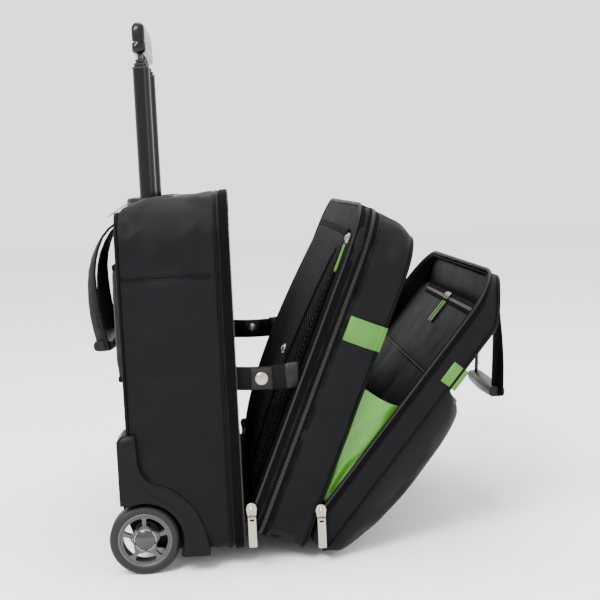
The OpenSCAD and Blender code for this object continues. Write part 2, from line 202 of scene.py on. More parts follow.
print("one stitch has", len(block((0, 0, 0), (1, 1, 1))[1]), "faces")

# %% Pieces and their faces
def piece(name, mesh_data, place, material, body=None, replaces=(), sharp=None):
    """Makes an object from points in millimetres on a board."""
    points, faces = mesh_data
    mesh = bpy.data.meshes.new(name)
    mesh.from_pydata([place @ (Vector(point) * MM) for point in points], [], faces)
    mesh.validate()
    obj = bpy.data.objects.new(name, mesh)
    bpy.context.scene.collection.objects.link(obj)
    mesh.materials.append(material)
    tidy_faces(mesh, sharp)
    if replaces:
        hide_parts(*replaces)
    if body:
        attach(obj, body)
    return obj


def tidy_faces(mesh, sharp=None):
    """Makes the faces look outward and shades them smooth, with creases over the angle sharp."""
    work = bmesh.new()
    work.from_mesh(mesh)
    bmesh.ops.recalc_face_normals(work, faces=work.faces)
    work.to_mesh(mesh)
    work.free()
    for polygon in mesh.polygons:
        polygon.use_smooth = True
    if sharp:
        mesh.set_sharp_from_angle(angle=math.radians(sharp))


print("a piece takes its place, finish, slot and body in one call")

# %% Thickening and cutting
def settle(obj):
    """Turns an object's modifiers into plain mesh."""
    graph = bpy.context.evaluated_depsgraph_get()
    mesh = bpy.data.meshes.new_from_object(obj.evaluated_get(graph))
    obj.modifiers.clear()
    obj.data = mesh
    return obj


def thicken(obj, thick, smooth_levels=1, offset=-1.0):
    """Gives a sheet its thickness, then rounds it with a subdivision surface."""
    solid = obj.modifiers.new("thickness", "SOLIDIFY")
    solid.thickness = thick * MM
    solid.offset = offset
    if smooth_levels:
        rounding = obj.modifiers.new("rounding", "SUBSURF")
        rounding.levels = rounding.render_levels = smooth_levels
    return obj


def cut(obj, *cutters):
    """Cuts closed shapes out of an object."""
    for cutter in cutters:
        knife = obj.modifiers.new("cut", "BOOLEAN")
        knife.operation = "DIFFERENCE"
        knife.solver = "EXACT"
        knife.object = cutter
    settle(obj)
    for cutter in cutters:
        bpy.data.objects.remove(cutter)
    return obj


print("modifiers are settled into plain mesh before a cut is used")

# %% [markdown]
# ## Outlines
#
# The three compartments are rounded rectangles seen from the front. One list of points with
# outward directions serves the cloth band, the piping, the zip tapes and the teeth, because
# each of them is that outline at its own depth and its own distance outward.

# %% Rounded outlines
def outline(half, low, high, r_low, r_high, step=6.0):
    """Evenly spaced (y, z, outward y, outward z) round a panel, starting at its right side."""
    ring = []
    corners = [(half - r_low, low + r_low, r_low, -90), (half - r_high, high - r_high, r_high, 0),
               (-half + r_high, high - r_high, r_high, 90), (-half + r_low, low + r_low, r_low, 180)]
    for index, (y, z, radius, start) in enumerate(corners):
        count = max(4, round(radius * math.pi / 2 / step))
        for k in range(count + 1):
            angle = math.radians(start + 90 * k / count)
            c, s = math.cos(angle), math.sin(angle)
            ring.append((y + radius * c, z + radius * s, c, s))
        y2, z2, radius2, start2 = corners[(index + 1) % 4]
        angle = math.radians(start2)
        ahead = (y2 + radius2 * math.cos(angle), z2 + radius2 * math.sin(angle))
        y1, z1, c, s = ring[-1]
        gap = math.hypot(ahead[0] - y1, ahead[1] - z1)
        pieces = max(1, round(gap / step))
        for k in range(1, pieces):
            t = k / pieces
            ring.append((y1 + t * (ahead[0] - y1), z1 + t * (ahead[1] - z1), c, s))
    return ring


def half_width(half, low, high, r_low, r_high, z):
    """Half width of the rounded outline at height z."""
    if z > high - r_high:
        return half - r_high + math.sqrt(max(0.0, r_high ** 2 - (z - high + r_high) ** 2))
    if z < low + r_low:
        return half - r_low + math.sqrt(max(0.0, r_low ** 2 - (low + r_low - z) ** 2))
    return half


REAR = (CASE_HALF, CASE_LOW, CASE_HIGH, 18, 40)
MID = (MIDDLE_HALF, -2.0, MIDDLE_HIGH, 18, 58)
FRO = (FRONT_HALF, -38.0, FRONT_HIGH, 14, 54)
print("points round the rear case:", len(outline(*REAR)))

# %% Outer surface of each compartment
def smooth_step(t):
    t = min(1.0, max(0.0, t))
    return t * t * (3 - 2 * t)


def shoulder(x, deep, radius):
    """How far a surface falls away over the last millimetres of its depth."""
    u = min(1.0, max(0.0, (x - deep + radius) / radius))
    return radius * 0.7 * (1 - math.sqrt(1 - 0.96 * u * u))


def rear_point(x, ring_point, out):
    """A point of the rear case's outer surface, with its rounded top rear edge and raised rim."""
    y, z, ny, nz = ring_point
    lift = 7.0 * smooth_step((x - 55) / 45) * max(0.0, nz) - 3.0 * max(0.0, nz) * smooth_step((20 - x) / 20)
    y, z = y + ny * out, z + nz * out + lift
    if x < BACK_X + BACK_ROUND:
        drop = BACK_ROUND ** 2 - (BACK_X + BACK_ROUND - x) ** 2
        z = min(z, CASE_HIGH - BACK_ROUND + out + math.sqrt(max(0.0, drop)) - 1)
    return (x, y, z)


def middle_point(x, ring_point, out):
    """A point of the middle compartment's outer surface, with its cut-back bottom rear edge."""
    y, z, ny, nz = ring_point
    z -= max(0.0, nz) * (7 * smooth_step(x / MIDDLE_DEEP) + shoulder(x, MIDDLE_DEEP, 20))
    y -= ny * 0.35 * shoulder(x, MIDDLE_DEEP, 20)
    return (x, y + ny * out, max(z + nz * out, 10 - x - out))


def front_depth(z):
    """Depth of the front compartment's side: it thins towards the top."""
    return FRONT_DEEP - 20 * smooth_step((z - 250) / 47)


def front_point(x, ring_point, out):
    """A point of the front compartment's outer surface. x is a share of the depth at that height."""
    y, z, ny, nz = ring_point
    deep = x * front_depth(z)
    z = z + nz * out - max(0.0, nz) * shoulder(deep, FRONT_DEEP, 22)
    slope = 3.2 * (deep - 0.4)
    return (deep, y + ny * out, max(z, 1 - slope) if deep < 13 else z)


print("front depth at its top:", round(front_depth(FRONT_HIGH), 1), "mm; lower down:", FRONT_DEEP, "mm")

# %% Bands, tapes, piping and teeth
def band(point, ring, depths, out=lambda x, ring_point: 0.0):
    """Grid of points round an outline: one row for each depth."""
    points = [point(x, ring_point, out(x, ring_point)) for x in depths for ring_point in ring]
    return points, grid_faces(len(depths), len(ring), wrap=True)


def tape(point, ring, x0, x1, low, high):
    """A flat closed strip round an outline, from depth x0 to x1, raised from low to high."""
    rows = [(x0, low), (x0, high), (x1, high), (x1, low)]
    points = [point(x, ring_point, out) for x, out in rows for ring_point in ring]
    return points, grid_faces(4, len(ring), wrap=True, join=True)


def welt(point, ring, x, out, radius):
    """A piping cord round an outline."""
    path = [point(x, ring_point, out) for ring_point in ring]
    return sweep(path, disc(radius, 8), closed=True, side=(1, 0, 0))


def teeth(point, ring, x, out, pitch, size):
    """Zip teeth at an even pitch round an outline."""
    path = [Vector(point(x, ring_point, out)) for ring_point in ring]
    parts = []
    travel, mark = 0.0, 0.0
    for i, start in enumerate(path):
        end = path[(i + 1) % len(path)]
        length = (end - start).length
        if length < 1e-6:
            continue
        turn = Matrix.Rotation(math.atan2(end.z - start.z, end.y - start.y), 3, "X")
        while mark <= travel + length:
            parts.append(block(start.lerp(end, (mark - travel) / length), size, turn))
            mark += pitch
        travel += length
    return merge(*parts)


print("a band of 2 rows has", len(band(rear_point, outline(*REAR), (0, 9))[1]), "faces")

# %% Filled panels
def panel(shape, rows, columns, depth, low=None, high=None, inset=0.0):
    """A filled grid across a rounded outline, with depth(y, z) for its surface."""
    half, z0, z1, r_low, r_high = shape
    low = z0 + inset if low is None else low
    high = z1 - inset if high is None else high
    points = []
    for i in range(rows):
        z = low + (high - low) * i / (rows - 1)
        reach = half_width(half, z0, z1, r_low, r_high, z) - inset
        for j in range(columns):
            y = reach * (2 * j / (columns - 1) - 1)
            points.append((depth(y, z), y, z))
    return points, grid_faces(rows, columns)


def edge_rows(rows, columns):
    """Index set of a grid's border."""
    return {i * columns + j for i in range(rows) for j in range(columns)
            if i in (0, rows - 1) or j in (0, columns - 1)}


print("points on the border of a 4 by 5 grid:", len(edge_rows(4, 5)))

# %% [markdown]
# ## Cloth
#
# Padded cloth between sewn seams is slightly too large for its frame, so it swells and puckers
# along the seams. The cloth solver does this well: the seams are pinned, the cloth is given a
# little slack and a low pressure, and a cap keeps every point near its drawing. The result is
# written back as plain mesh, so nothing is simulated when the case moves.

# %% Swelling with the cloth solver
def swell(obj, pins, pressure=2.0, slack=0.02, cap=6.0, steps=20, bending=0.6):
    """Lets a sheet swell between its pinned points. pins maps a point's index to its weight."""
    group = obj.vertex_groups.new(name="pins")
    for index, weight in pins.items():
        group.add([index], weight, "REPLACE")
    before = [vertex.co.copy() for vertex in obj.data.vertices]
    cloth = obj.modifiers.new("cloth", "CLOTH")
    rules = cloth.settings
    rules.quality = 6
    rules.mass = 0.25
    rules.tension_stiffness = rules.compression_stiffness = 20
    rules.shear_stiffness = 8
    rules.bending_stiffness = bending
    rules.vertex_group_mass = "pins"
    rules.shrink_min = -slack
    rules.use_pressure = True
    rules.uniform_pressure_force = pressure
    rules.effector_weights.gravity = 0
    cloth.collision_settings.use_collision = False
    scene = bpy.context.scene
    for step in range(1, steps + 1):
        scene.frame_set(step)
    graph = bpy.context.evaluated_depsgraph_get()
    moved = [vertex.co.copy() for vertex in obj.evaluated_get(graph).data.vertices]
    obj.modifiers.remove(cloth)
    obj.vertex_groups.clear()
    furthest = 0.0
    for vertex, start, end in zip(obj.data.vertices, before, moved):
        shift = end - start
        furthest = max(furthest, shift.length)
        if shift.length > cap * MM:
            shift *= cap * MM / shift.length
        vertex.co = start + shift
    scene.frame_set(1)
    print(obj.name, "swelled by up to", round(furthest / MM, 1), "mm")
    return obj


def ruffle(obj, depth, size, seed=0.0, keep=()):
    """Moves each point along its normal by smooth noise, for the small dents of handled cloth."""
    held = set(keep)
    for vertex in obj.data.vertices:
        if vertex.index in held:
            continue
        spot = vertex.co / (size * MM) + Vector((seed, 2 * seed, 3 * seed))
        vertex.co += vertex.normal * depth * MM * (noise.noise(spot) + 0.5 * noise.noise(spot * 2.3))
    return obj


def surface_of(obj):
    """A search tree of an object's final surface, to lay tapes and seams on it."""
    graph = bpy.context.evaluated_depsgraph_get()
    return BVHTree.FromObject(obj, graph)


def side_reach(tree, place, x, z, side, default):
    """Distance of a surface from the middle plane at (x, z) on a board, on side -1 or 1."""
    start = place @ (Vector((x, side * 260, z)) * MM)
    hit = tree.ray_cast(start, Vector((0, -side, 0)))[0]
    return abs(hit.y) / MM if hit is not None and abs(hit.y) / MM > default - 8 else default

# %% [markdown]
# ## Finishes
#
# Black is the whole character of this object, so what tells its parts apart is how each one
# breaks up light: twill in fine diagonals, coarse ballistic nylon in small squares, webbing in
# ribs, leather in pebbles, lacquer not at all. Each finish is one Principled shader with a
# pattern in object space that drives its bump, its roughness and a painted shade that darkens
# its colour in the grooves of that pattern.

# %% Patterns
def wave_pattern(direction, period, bend=0.0):
    """Parallel threads. period is their spacing in millimetres."""
    def build(nodes, links, place):
        wave = nodes.new("ShaderNodeTexWave")
        wave.bands_direction = direction
        turns = 10 if direction == "DIAGONAL" else 20
        wave.inputs["Scale"].default_value = 2 * math.pi / turns / (period * MM)
        wave.inputs["Distortion"].default_value = bend
        links.new(place, wave.inputs["Vector"])
        return wave.outputs["Fac"]
    return build


def noise_pattern(size, detail=3.0):
    """Cloudy grain of one size in millimetres."""
    def build(nodes, links, place):
        grain = nodes.new("ShaderNodeTexNoise")
        grain.inputs["Scale"].default_value = 1 / (size * MM)
        grain.inputs["Detail"].default_value = detail
        links.new(place, grain.inputs["Vector"])
        return grain.outputs["Fac"]
    return build


def pebble_pattern(size):
    """Rounded cells, as in leather."""
    def build(nodes, links, place):
        cells = nodes.new("ShaderNodeTexVoronoi")
        cells.inputs["Scale"].default_value = 1 / (size * MM)
        links.new(place, cells.inputs["Vector"])
        return cells.outputs["Distance"]
    return build


def checker_pattern(size):
    """Small squares, as in a basket weave."""
    def build(nodes, links, place):
        squares = nodes.new("ShaderNodeTexChecker")
        squares.inputs["Scale"].default_value = 1 / (size * MM)
        links.new(place, squares.inputs["Vector"])
        return squares.outputs["Fac"]
    return build


def both(first, second, share=0.5):
    """Two patterns mixed into one height."""
    def build(nodes, links, place):
        blend = nodes.new("ShaderNodeMix")
        blend.inputs[0].default_value = share
        links.new(first(nodes, links, place), blend.inputs[2])
        links.new(second(nodes, links, place), blend.inputs[3])
        return blend.outputs[0]
    return build


print("patterns: threads, grain, pebbles, squares, and a mix of two")

# %% One function for every finish
def scaled(nodes, links, value, low, high):
    """Maps a 0 to 1 value to a new range."""
    reach = nodes.new("ShaderNodeMapRange")
    reach.inputs["To Min"].default_value = low
    reach.inputs["To Max"].default_value = high
    links.new(value, reach.inputs["Value"])
    return reach.outputs["Result"]


def finish(name, color, roughness, pattern, bump, metallic=0.0, sheen=0.0, coat=0.0,
           specular=0.5, mottle=0.2, mottle_size=30.0, spread=0.1, groove=0.4):
    """A material whose pattern drives bump, roughness and a painted shade in the pattern's grooves."""
    material = bpy.data.materials.new(name)
    material.use_nodes = True
    nodes, links = material.node_tree.nodes, material.node_tree.links
    shader = nodes["Principled BSDF"]
    for socket, value in (("Metallic", metallic), ("Sheen Weight", sheen), ("Sheen Roughness", 0.45),
                          ("Coat Weight", coat), ("Coat Roughness", 0.12),
                          ("Specular IOR Level", specular)):
        shader.inputs[socket].default_value = value
    place = nodes.new("ShaderNodeTexCoord").outputs["Object"]
    cloud = noise_pattern(mottle_size)(nodes, links, place)
    tone = nodes.new("ShaderNodeMix")
    tone.data_type = "RGBA"
    tone.inputs[6].default_value = [c * (1 - mottle) for c in color] + [1]
    tone.inputs[7].default_value = [c * (1 + mottle) for c in color] + [1]
    links.new(cloud, tone.inputs[0])
    height = pattern(nodes, links, place)
    # Painted shade: the colour is darkened where the pattern is low, in its grooves and dents, by up to the
    # share groove.
    shade = nodes.new("ShaderNodeMix")
    shade.data_type = "RGBA"
    shade.blend_type = "MULTIPLY"
    shade.inputs[0].default_value = 1.0
    links.new(tone.outputs[2], shade.inputs[6])
    links.new(scaled(nodes, links, height, 1 - groove, 1.0), shade.inputs[7])
    links.new(shade.outputs[2], shader.inputs["Base Color"])
    rough = scaled(nodes, links, cloud, roughness - spread, roughness + spread)
    links.new(rough, shader.inputs["Roughness"])
    relief = nodes.new("ShaderNodeBump")
    relief.inputs["Distance"].default_value = bump * MM
    relief.inputs["Strength"].default_value = 1.0
    links.new(height, relief.inputs["Height"])
    links.new(relief.outputs["Normal"], shader.inputs["Normal"])
    return material


print("one call makes one material")

# %% The finishes of this case
# groove sets how far painted shade darkens each finish's colour in the grooves of its pattern.
TWILL = finish("black_twill", (0.0045, 0.0045, 0.0058), 0.56,
               both(wave_pattern("DIAGONAL", 1.5), noise_pattern(1.1)), 0.10, sheen=0.0,
               specular=0.07, groove=0.5)
BALLISTIC = finish("ballistic_nylon", (0.0055, 0.0055, 0.007), 0.5,
                   both(checker_pattern(1.5), noise_pattern(0.9)), 0.16, sheen=0.0,
                   specular=0.08, groove=0.55)
LINING = finish("black_lining", (0.0035, 0.0035, 0.0042), 0.68,
                both(wave_pattern("DIAGONAL", 0.9), noise_pattern(2.0)), 0.06, sheen=0.0,
                specular=0.05)
TAPE = finish("zip_tape", (0.003, 0.003, 0.0034), 0.72,
              both(wave_pattern("DIAGONAL", 0.8), noise_pattern(0.8)), 0.10, specular=0.02)
CORD = finish("piping_cloth", (0.003, 0.003, 0.0033), 0.45, noise_pattern(0.7), 0.08, specular=0.05)
COIL = finish("zip_coil", (0.005, 0.005, 0.005), 0.36, noise_pattern(0.8), 0.03, spread=0.06,
              specular=0.4)
WEBBING = finish("woven_webbing", (0.004, 0.004, 0.0045), 0.6,
                 both(wave_pattern("Z", 1.3), checker_pattern(1.0), 0.35), 0.22, sheen=0.0,
                 specular=0.07, groove=0.6)
NET = finish("net_thread", (0.009, 0.009, 0.0105), 0.5, noise_pattern(0.5), 0.03, specular=0.15)
SATIN = finish("green_satin", (0.032, 0.155, 0.001), 0.34,
               both(wave_pattern("DIAGONAL", 0.7), noise_pattern(3.0)), 0.05, sheen=0.2,
               mottle=0.1, groove=0.12, coat=0.15)
GREEN_TAPE = finish("green_tape", (0.032, 0.15, 0.001), 0.5,
                    both(wave_pattern("Z", 0.9), checker_pattern(0.8), 0.4), 0.10, mottle=0.08,
                    groove=0.3)
GREEN_LEATHER = finish("green_leather", (0.032, 0.155, 0.001), 0.42, pebble_pattern(0.9), 0.10,
                       mottle=0.12, groove=0.2)
LEATHER = finish("black_leather", (0.004, 0.0038, 0.0038), 0.42, pebble_pattern(1.2), 0.14,
                 specular=0.2, groove=0.35)
HOUSING = finish("housing_plastic", (0.0045, 0.0045, 0.005), 0.40, noise_pattern(0.6, 4.0), 0.05,
                 spread=0.05, specular=0.08)
PLASTIC = finish("smooth_plastic", (0.004, 0.004, 0.0045), 0.30, noise_pattern(0.5, 4.0), 0.02,
                 spread=0.06, specular=0.4)
LACQUER = finish("gloss_lacquer", (0.002, 0.002, 0.0024), 0.16, noise_pattern(1.5), 0.006,
                 specular=0.2, spread=0.05, groove=0.1)
GRIP = finish("grip_gloss", (0.003, 0.003, 0.0033), 0.2, noise_pattern(0.8), 0.015,
              specular=0.2, spread=0.06, groove=0.1)
BUTTON = finish("button_plastic", (0.05, 0.05, 0.055), 0.35, noise_pattern(0.5), 0.02)
SILVER = finish("wheel_silver", (0.06, 0.06, 0.062), 0.36, noise_pattern(0.7, 5.0), 0.02,
                metallic=0.4, specular=0.3, spread=0.08, groove=0.12)
CAP = finish("cap_grey", (0.008, 0.008, 0.009), 0.2, noise_pattern(1.0), 0.01, coat=0.2,
             groove=0.1)
RUBBER = finish("tyre_rubber", (0.004, 0.004, 0.004), 0.55, noise_pattern(0.9, 5.0), 0.07,
                specular=0.3)
NICKEL = finish("satin_nickel", (0.36, 0.33, 0.28), 0.3, noise_pattern(2.0, 6.0), 0.02,
                metallic=1.0, mottle=0.08, spread=0.1, groove=0.1)
STEEL = finish("plain_steel", (0.50, 0.50, 0.51), 0.35, wave_pattern("Y", 0.6, 2.0), 0.01,
               metallic=1.0, mottle=0.1, groove=0.15)
ALLOY = finish("drawn_aluminium", (0.60, 0.60, 0.61), 0.38, wave_pattern("X", 0.5, 1.0), 0.01,
               metallic=1.0, mottle=0.08, groove=0.12)
FOAM = finish("padded_grey", (0.05, 0.05, 0.055), 0.85, noise_pattern(1.2, 5.0), 0.15, sheen=0.3)
print("materials, the CAD ones among them:", len(bpy.data.materials))

# %% [markdown]
# ## Hard parts
#
# The handle tubes, wheels, axles, boards and nickel plates have the right shape already, so they
# stay and only take a finish. A moulded or cut edge is never perfectly sharp, so most of them
# also get a small bevel that catches the light.

# %% Dress the CAD nodes
def dress(material, names, soften=0.0):
    """Gives CAD nodes a finish, and a bevel of so many millimetres."""
    for name in names.split():
        obj = frame["nodes"][name]
        obj.data.materials.clear()
        obj.data.materials.append(material)
        if soften:
            normals = obj.data.attributes.get("custom_normal")
            if normals is not None:
                obj.data.attributes.remove(normals)
            weld = obj.modifiers.new("weld", "WELD")
            weld.merge_threshold = 0.02 * MM
            edge = obj.modifiers.new("edge", "BEVEL")
            edge.width = soften * MM
            edge.segments = 2
            edge.limit_method = "ANGLE"
            edge.angle_limit = math.radians(40)
            edge.harden_normals = True


dress(LINING, "case_boards", 1.0)
dress(HOUSING, "wheel_housings", 0.8)
dress(STEEL, "axles housing_screws bearings_right bearings_left")
dress(ALLOY, "outer_tubes")
dress(PLASTIC, "tube_base tube_bezel", 0.8)
dress(PLASTIC, "stage_a_bushes stage_b_bushes")
dress(SATIN, "garage_lining")
dress(LACQUER, "stage_a_tubes stage_b_tubes stage_c_tubes")
dress(BUTTON, "release_button", 1.2)
dress(SILVER, "rim_right rim_left")
dress(CAP, "hub_cap_right hub_cap_left grip_necks")
dress(FOAM, "laptop_divider", 1.2)
dress(PLASTIC, "front_bumper", 0.6)
dress(NICKEL, "rear_pull_right rear_pull_left front_pull_right front_pull_left", 0.5)
print("CAD nodes with a bevel:", sum("edge" in obj.modifiers for obj in frame["nodes"].values()))

# %% [markdown]
# ## Rear case
#
# The sides, top and bottom are one padded band. It is pinned at the back piping, at the seam
# behind the zip and at the rim, and a seam crosses each side below the top panel. Between them
# the cloth swells. The wheel corners and the handle garage are then cut out of the thickened
# band, because those openings are bound by harder parts.

# %% Cutters for the wheel corners and the handle garage
HOUSING_EDGE = [(-24, 138), (-24, 146), (-3.5, 146), (-3.5, 118), (1, 107), (8, 99), (17, 95),
                (28, 91), (42, 80), (54, 66), (62, 48), (65.3, 28), (65.3, 10), (-24, 10)]
GARAGE_X, GARAGE_R, GARAGE_HALF = 17.5, 23.0, 88.0


def prism(edge, low, high, axis="y"):
    """A closed cutter or plate: an outline carried along y or z."""
    count = len(edge)
    if axis == "y":
        points = [(a, t, b) for t in (low, high) for a, b in edge]
    else:
        points = [(a, b, t) for t in (low, high) for a, b in edge]
    faces = grid_faces(2, count, wrap=True)
    faces += [tuple(range(count)), tuple(range(count, 2 * count))[::-1]]
    return points, faces


def stadium(half, radius, sides=14):
    """Points (x, y) of the garage's long opening."""
    ring = []
    for center, start in ((half - radius, 0), (radius - half, 180)):
        for k in range(sides + 1):
            angle = math.radians(start + 180 * k / sides)
            ring.append((GARAGE_X + radius * math.cos(angle), center + radius * math.sin(angle)))
    return ring


def cutter(mesh_data):
    """A throwaway object on the rear case's board."""
    points, faces = mesh_data
    mesh = bpy.data.meshes.new("cutter")
    mesh.from_pydata([CASE @ (Vector(point) * MM) for point in points], [], faces)
    tidy_faces(mesh)
    obj = bpy.data.objects.new("cutter", mesh)
    bpy.context.scene.collection.objects.link(obj)
    return obj


def corner_cutters():
    inner = CASE_HALF - 31
    return [cutter(prism(HOUSING_EDGE, low, high))
            for low, high in ((-260, -inner), (inner, 260))]


def garage_cutter():
    return cutter(prism(stadium(GARAGE_HALF + 0.5, GARAGE_R + 0.5), 300, 420, "z"))


print("housing outline points:", len(HOUSING_EDGE))

# %% Outer band
REAR_RING = outline(*REAR)
REAR_ROWS = [BACK_X + 0.3 + (RIM_X - 1 - BACK_X) * k / 18 for k in range(19)]


def pins_for(ring, rows, seams, point_pins=None):
    """Weights that hold a band along whole rows, and along lines across it."""
    pins = {}
    for x, weight in seams:
        row = min(range(len(rows)), key=lambda i: abs(rows[i] - x))
        for j in range(len(ring)):
            pins[row * len(ring) + j] = weight
    if point_pins:
        for i in range(len(rows)):
            for j, ring_point in enumerate(ring):
                weight = point_pins(rows[i], ring_point)
                if weight:
                    key = i * len(ring) + j
                    pins[key] = max(weight, pins.get(key, 0))
    return pins


def orient(obj, inside):
    """Makes an open band's faces look away from a point inside it."""
    total = sum((polygon.center - inside).dot(polygon.normal) for polygon in obj.data.polygons)
    if total < 0:
        obj.data.flip_normals()
    return obj


SEAM_Z = 312.0
rear_skin = piece("rear_skin", band(rear_point, REAR_RING, REAR_ROWS), CASE, TWILL,
                  replaces=["case_band"])
orient(rear_skin, CASE @ (Vector((45, 0, 190)) * MM))
swell(rear_skin, pins_for(REAR_RING, REAR_ROWS, [(-12, 1), (-6, 0.6), (87, 0.9), (99, 1)],
                          lambda x, p: 0.8 if abs(p[1] - SEAM_Z) < 3.2 and abs(p[0]) > 190 else 0),
      pressure=1.4, slack=0.012, cap=4.0)
ruffle(rear_skin, 0.5, 46, seed=1.0)
thicken(rear_skin, 2.0)
cut(rear_skin, garage_cutter(), *corner_cutters())
tidy_faces(rear_skin.data, 50)
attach(rear_skin, "rear_case")

rear_lining = piece("rear_lining", band(rear_point, REAR_RING,
                                        [BACK_X + 6 + 90 * k / 9 for k in range(10)],
                                        lambda x, p: -5.0), CASE, LINING)
orient(rear_lining, CASE @ (Vector((45, 0, 190)) * MM))
thicken(rear_lining, 1.0, 0)
cut(rear_lining, garage_cutter(), *corner_cutters())
tidy_faces(rear_lining.data, 50)
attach(rear_lining, "rear_case")
print("rear band:", len(rear_skin.data.polygons), "faces")

# %% Back panel
def back_depth(y, z):
    return BACK_X - 1.6 * (1 - (y / CASE_HALF) ** 2) * math.sin(math.pi * min(1, max(0, (z - 20) / 341)))


rear_back = piece("rear_back_panel", panel(REAR, 46, 56, back_depth, high=CASE_HIGH - 13.5, inset=0.6),
                  CASE, TWILL, replaces=["back_panel"])
orient(rear_back, CASE @ (Vector((60, 0, 190)) * MM))
ruffle(rear_back, 0.5, 60, seed=4.0, keep=edge_rows(46, 56))
thicken(rear_back, 5.0, 1)
cut(rear_back, *corner_cutters())
tidy_faces(rear_back.data, 50)
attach(rear_back, "rear_case")
print("back panel:", len(rear_back.data.polygons), "faces")

# %% [markdown]
# ## Piping, zip tape and teeth
#
# A cord sewn into the seam hides the raw edges of two panels, so every outside corner of the
# case has one. The zip is a woven tape with a coil of teeth at the rim. All of them follow the
# same outline as the band.

# %% Trim of the rear case
rear_trim = piece("rear_piping", merge(welt(rear_point, REAR_RING, -11.0, 0.7, 1.7),
                                       welt(rear_point, REAR_RING, 87.0, 0.7, 1.5)),
                  CASE, CORD, replaces=["rear_trim"])
cut(rear_trim, *corner_cutters())
tidy_faces(rear_trim.data, 50)
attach(rear_trim, "rear_case")
piece("rear_zip_tape", tape(rear_point, REAR_RING, 91.0, 100.0, -0.5, 1.3), CASE, TAPE,
      "rear_case", sharp=50)
piece("rear_zip_teeth", teeth(rear_point, REAR_RING, 100.2, -0.2, 2.4, (2.6, 1.3, 1.8)),
      CASE, COIL, "rear_case", sharp=50)
rim_path = [rear_point(98.6, ring_point, -3.0) for ring_point in REAR_RING]
piece("rear_rim_binding", sweep(rim_path, [(2.0 * a, 2.9 * b) for a, b in disc(1.0, 10)],
                                closed=True, side=(1, 0, 0)),
      CASE, CORD, "rear_case")
print("piping:", len(rear_trim.data.polygons), "faces")

# %% [markdown]
# ## Wheel corners
#
# Each lower rear corner is a hard moulding that guards the cloth from kerbs. Its outer face isn't
# flat: a fender swells between the wheel arch and the S-shaped edge. A grid of lines from arch to
# edge, raised by a smooth profile, gives that swelling on top of the CAD housing.

# %% Fenders
ARCH_R = 39.5
WHEEL_UP = AXLE.z / MM
FENDER_EDGE = [(65.3, 18.5), (65.3, 28), (62, 48), (54, 66), (42, 80), (28, 91), (17, 95), (8, 99),
               (1, 107), (-3.5, 118), (-3.5, 132), (-4.2, 145.4), (-16.8, 145.4), (-22.2, 139.5)]


def along(path, t):
    """Point at share t of a smooth curve through a list of points."""
    spot = t * (len(path) - 1)
    i = min(int(spot), len(path) - 2)
    u = spot - i
    p = [Vector(path[max(0, min(len(path) - 1, i + k))]) for k in (-1, 0, 1, 2)]
    return 0.5 * (2 * p[1] + (p[2] - p[0]) * u + (2 * p[0] - 5 * p[1] + 4 * p[2] - p[3]) * u * u
                  + (3 * p[1] - p[0] - 3 * p[2] + p[3]) * u ** 3)


def fender(side):
    rows, columns = 60, 13
    points = []
    for i in range(rows):
        t = i / (rows - 1)
        angle = math.radians(-26 + 150 * t)
        inner = Vector((ARCH_R * math.cos(angle), WHEEL_UP + ARCH_R * math.sin(angle)))
        if t > 0.86:
            inner = inner.lerp(Vector((-22.2, 76)), (t - 0.86) / 0.14)
        outer = along(FENDER_EDGE, t)
        for j in range(columns):
            u = j / (columns - 1)
            x, z = inner.lerp(outer, u)
            rise = 3.4 * (1 - abs(2 * u - 1) ** 5) ** 0.5 - 1.3 * math.exp(-((u - 0.5) / 0.16) ** 2)
            rise -= 0.4 if j in (0, columns - 1) else 0
            points.append((x, side * (CASE_HALF + 3.6 + rise), z))
    return points, grid_faces(rows, columns)


for side, label in ((-1, "right"), (1, "left")):
    shield = piece("fender_" + label, fender(side), CASE, HOUSING)
    orient(shield, Vector((0, 0, 0.05)))
    thicken(shield, 1.2, 1)
    settle(shield)
    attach(shield, "rear_case")

# %% [markdown]
# ## Wheels
#
# The rims and bearings come from CAD. A tyre is turned, not cut from a block, so it is one
# profile spun round the axle, with fine grooves in its tread. A star-shaped ridge frames the hub.

# %% Tyres and hub stars
TYRE_R, TYRE_W, RIM_R = WHEEL_UP, 22.0, 26.5
WHEEL_MID = CASE_HALF - TYRE_W / 2 - 1


def spin(profile, side, steps=96):
    """Turns a closed profile of (y, r) about the axle."""
    points = []
    for k in range(steps):
        angle = 2 * math.pi * k / steps
        points += [(r * math.cos(angle), side * y, WHEEL_UP + r * math.sin(angle)) for y, r in profile]
    return points, grid_faces(steps, len(profile), wrap=True, join=True)


def tyre_profile():
    half = TYRE_W / 2
    outer = []
    for k in range(25):
        y = half * (2 * k / 24 - 1)
        shoulder = 4.0 * max(0.0, (abs(y) - half + 4) / 4) ** 2.2
        groove = 0.7 if k in (6, 12, 18) else 0.0
        outer.append((WHEEL_MID + y, TYRE_R - 0.05 - shoulder - groove))
    wall = [(WHEEL_MID + half, RIM_R + 2.5), (WHEEL_MID + half - 1.2, RIM_R + 0.2),
            (WHEEL_MID - half + 1.2, RIM_R + 0.2), (WHEEL_MID - half, RIM_R + 2.5)]
    return outer + wall


def star(side):
    """A five-cornered ridge round the hub cap."""
    path = []
    for k in range(80):
        angle = 2 * math.pi * k / 80 + math.pi / 2
        r = 13.2 + 1.7 * math.cos(5 * (angle - math.pi / 2))
        path.append((r * math.cos(angle), side * (CASE_HALF - 2.9), WHEEL_UP + r * math.sin(angle)))
    return sweep(path, [(1.1 * a, 0.9 * b) for a, b in disc(1.0, 8)], closed=True, side=(0, 1, 0))


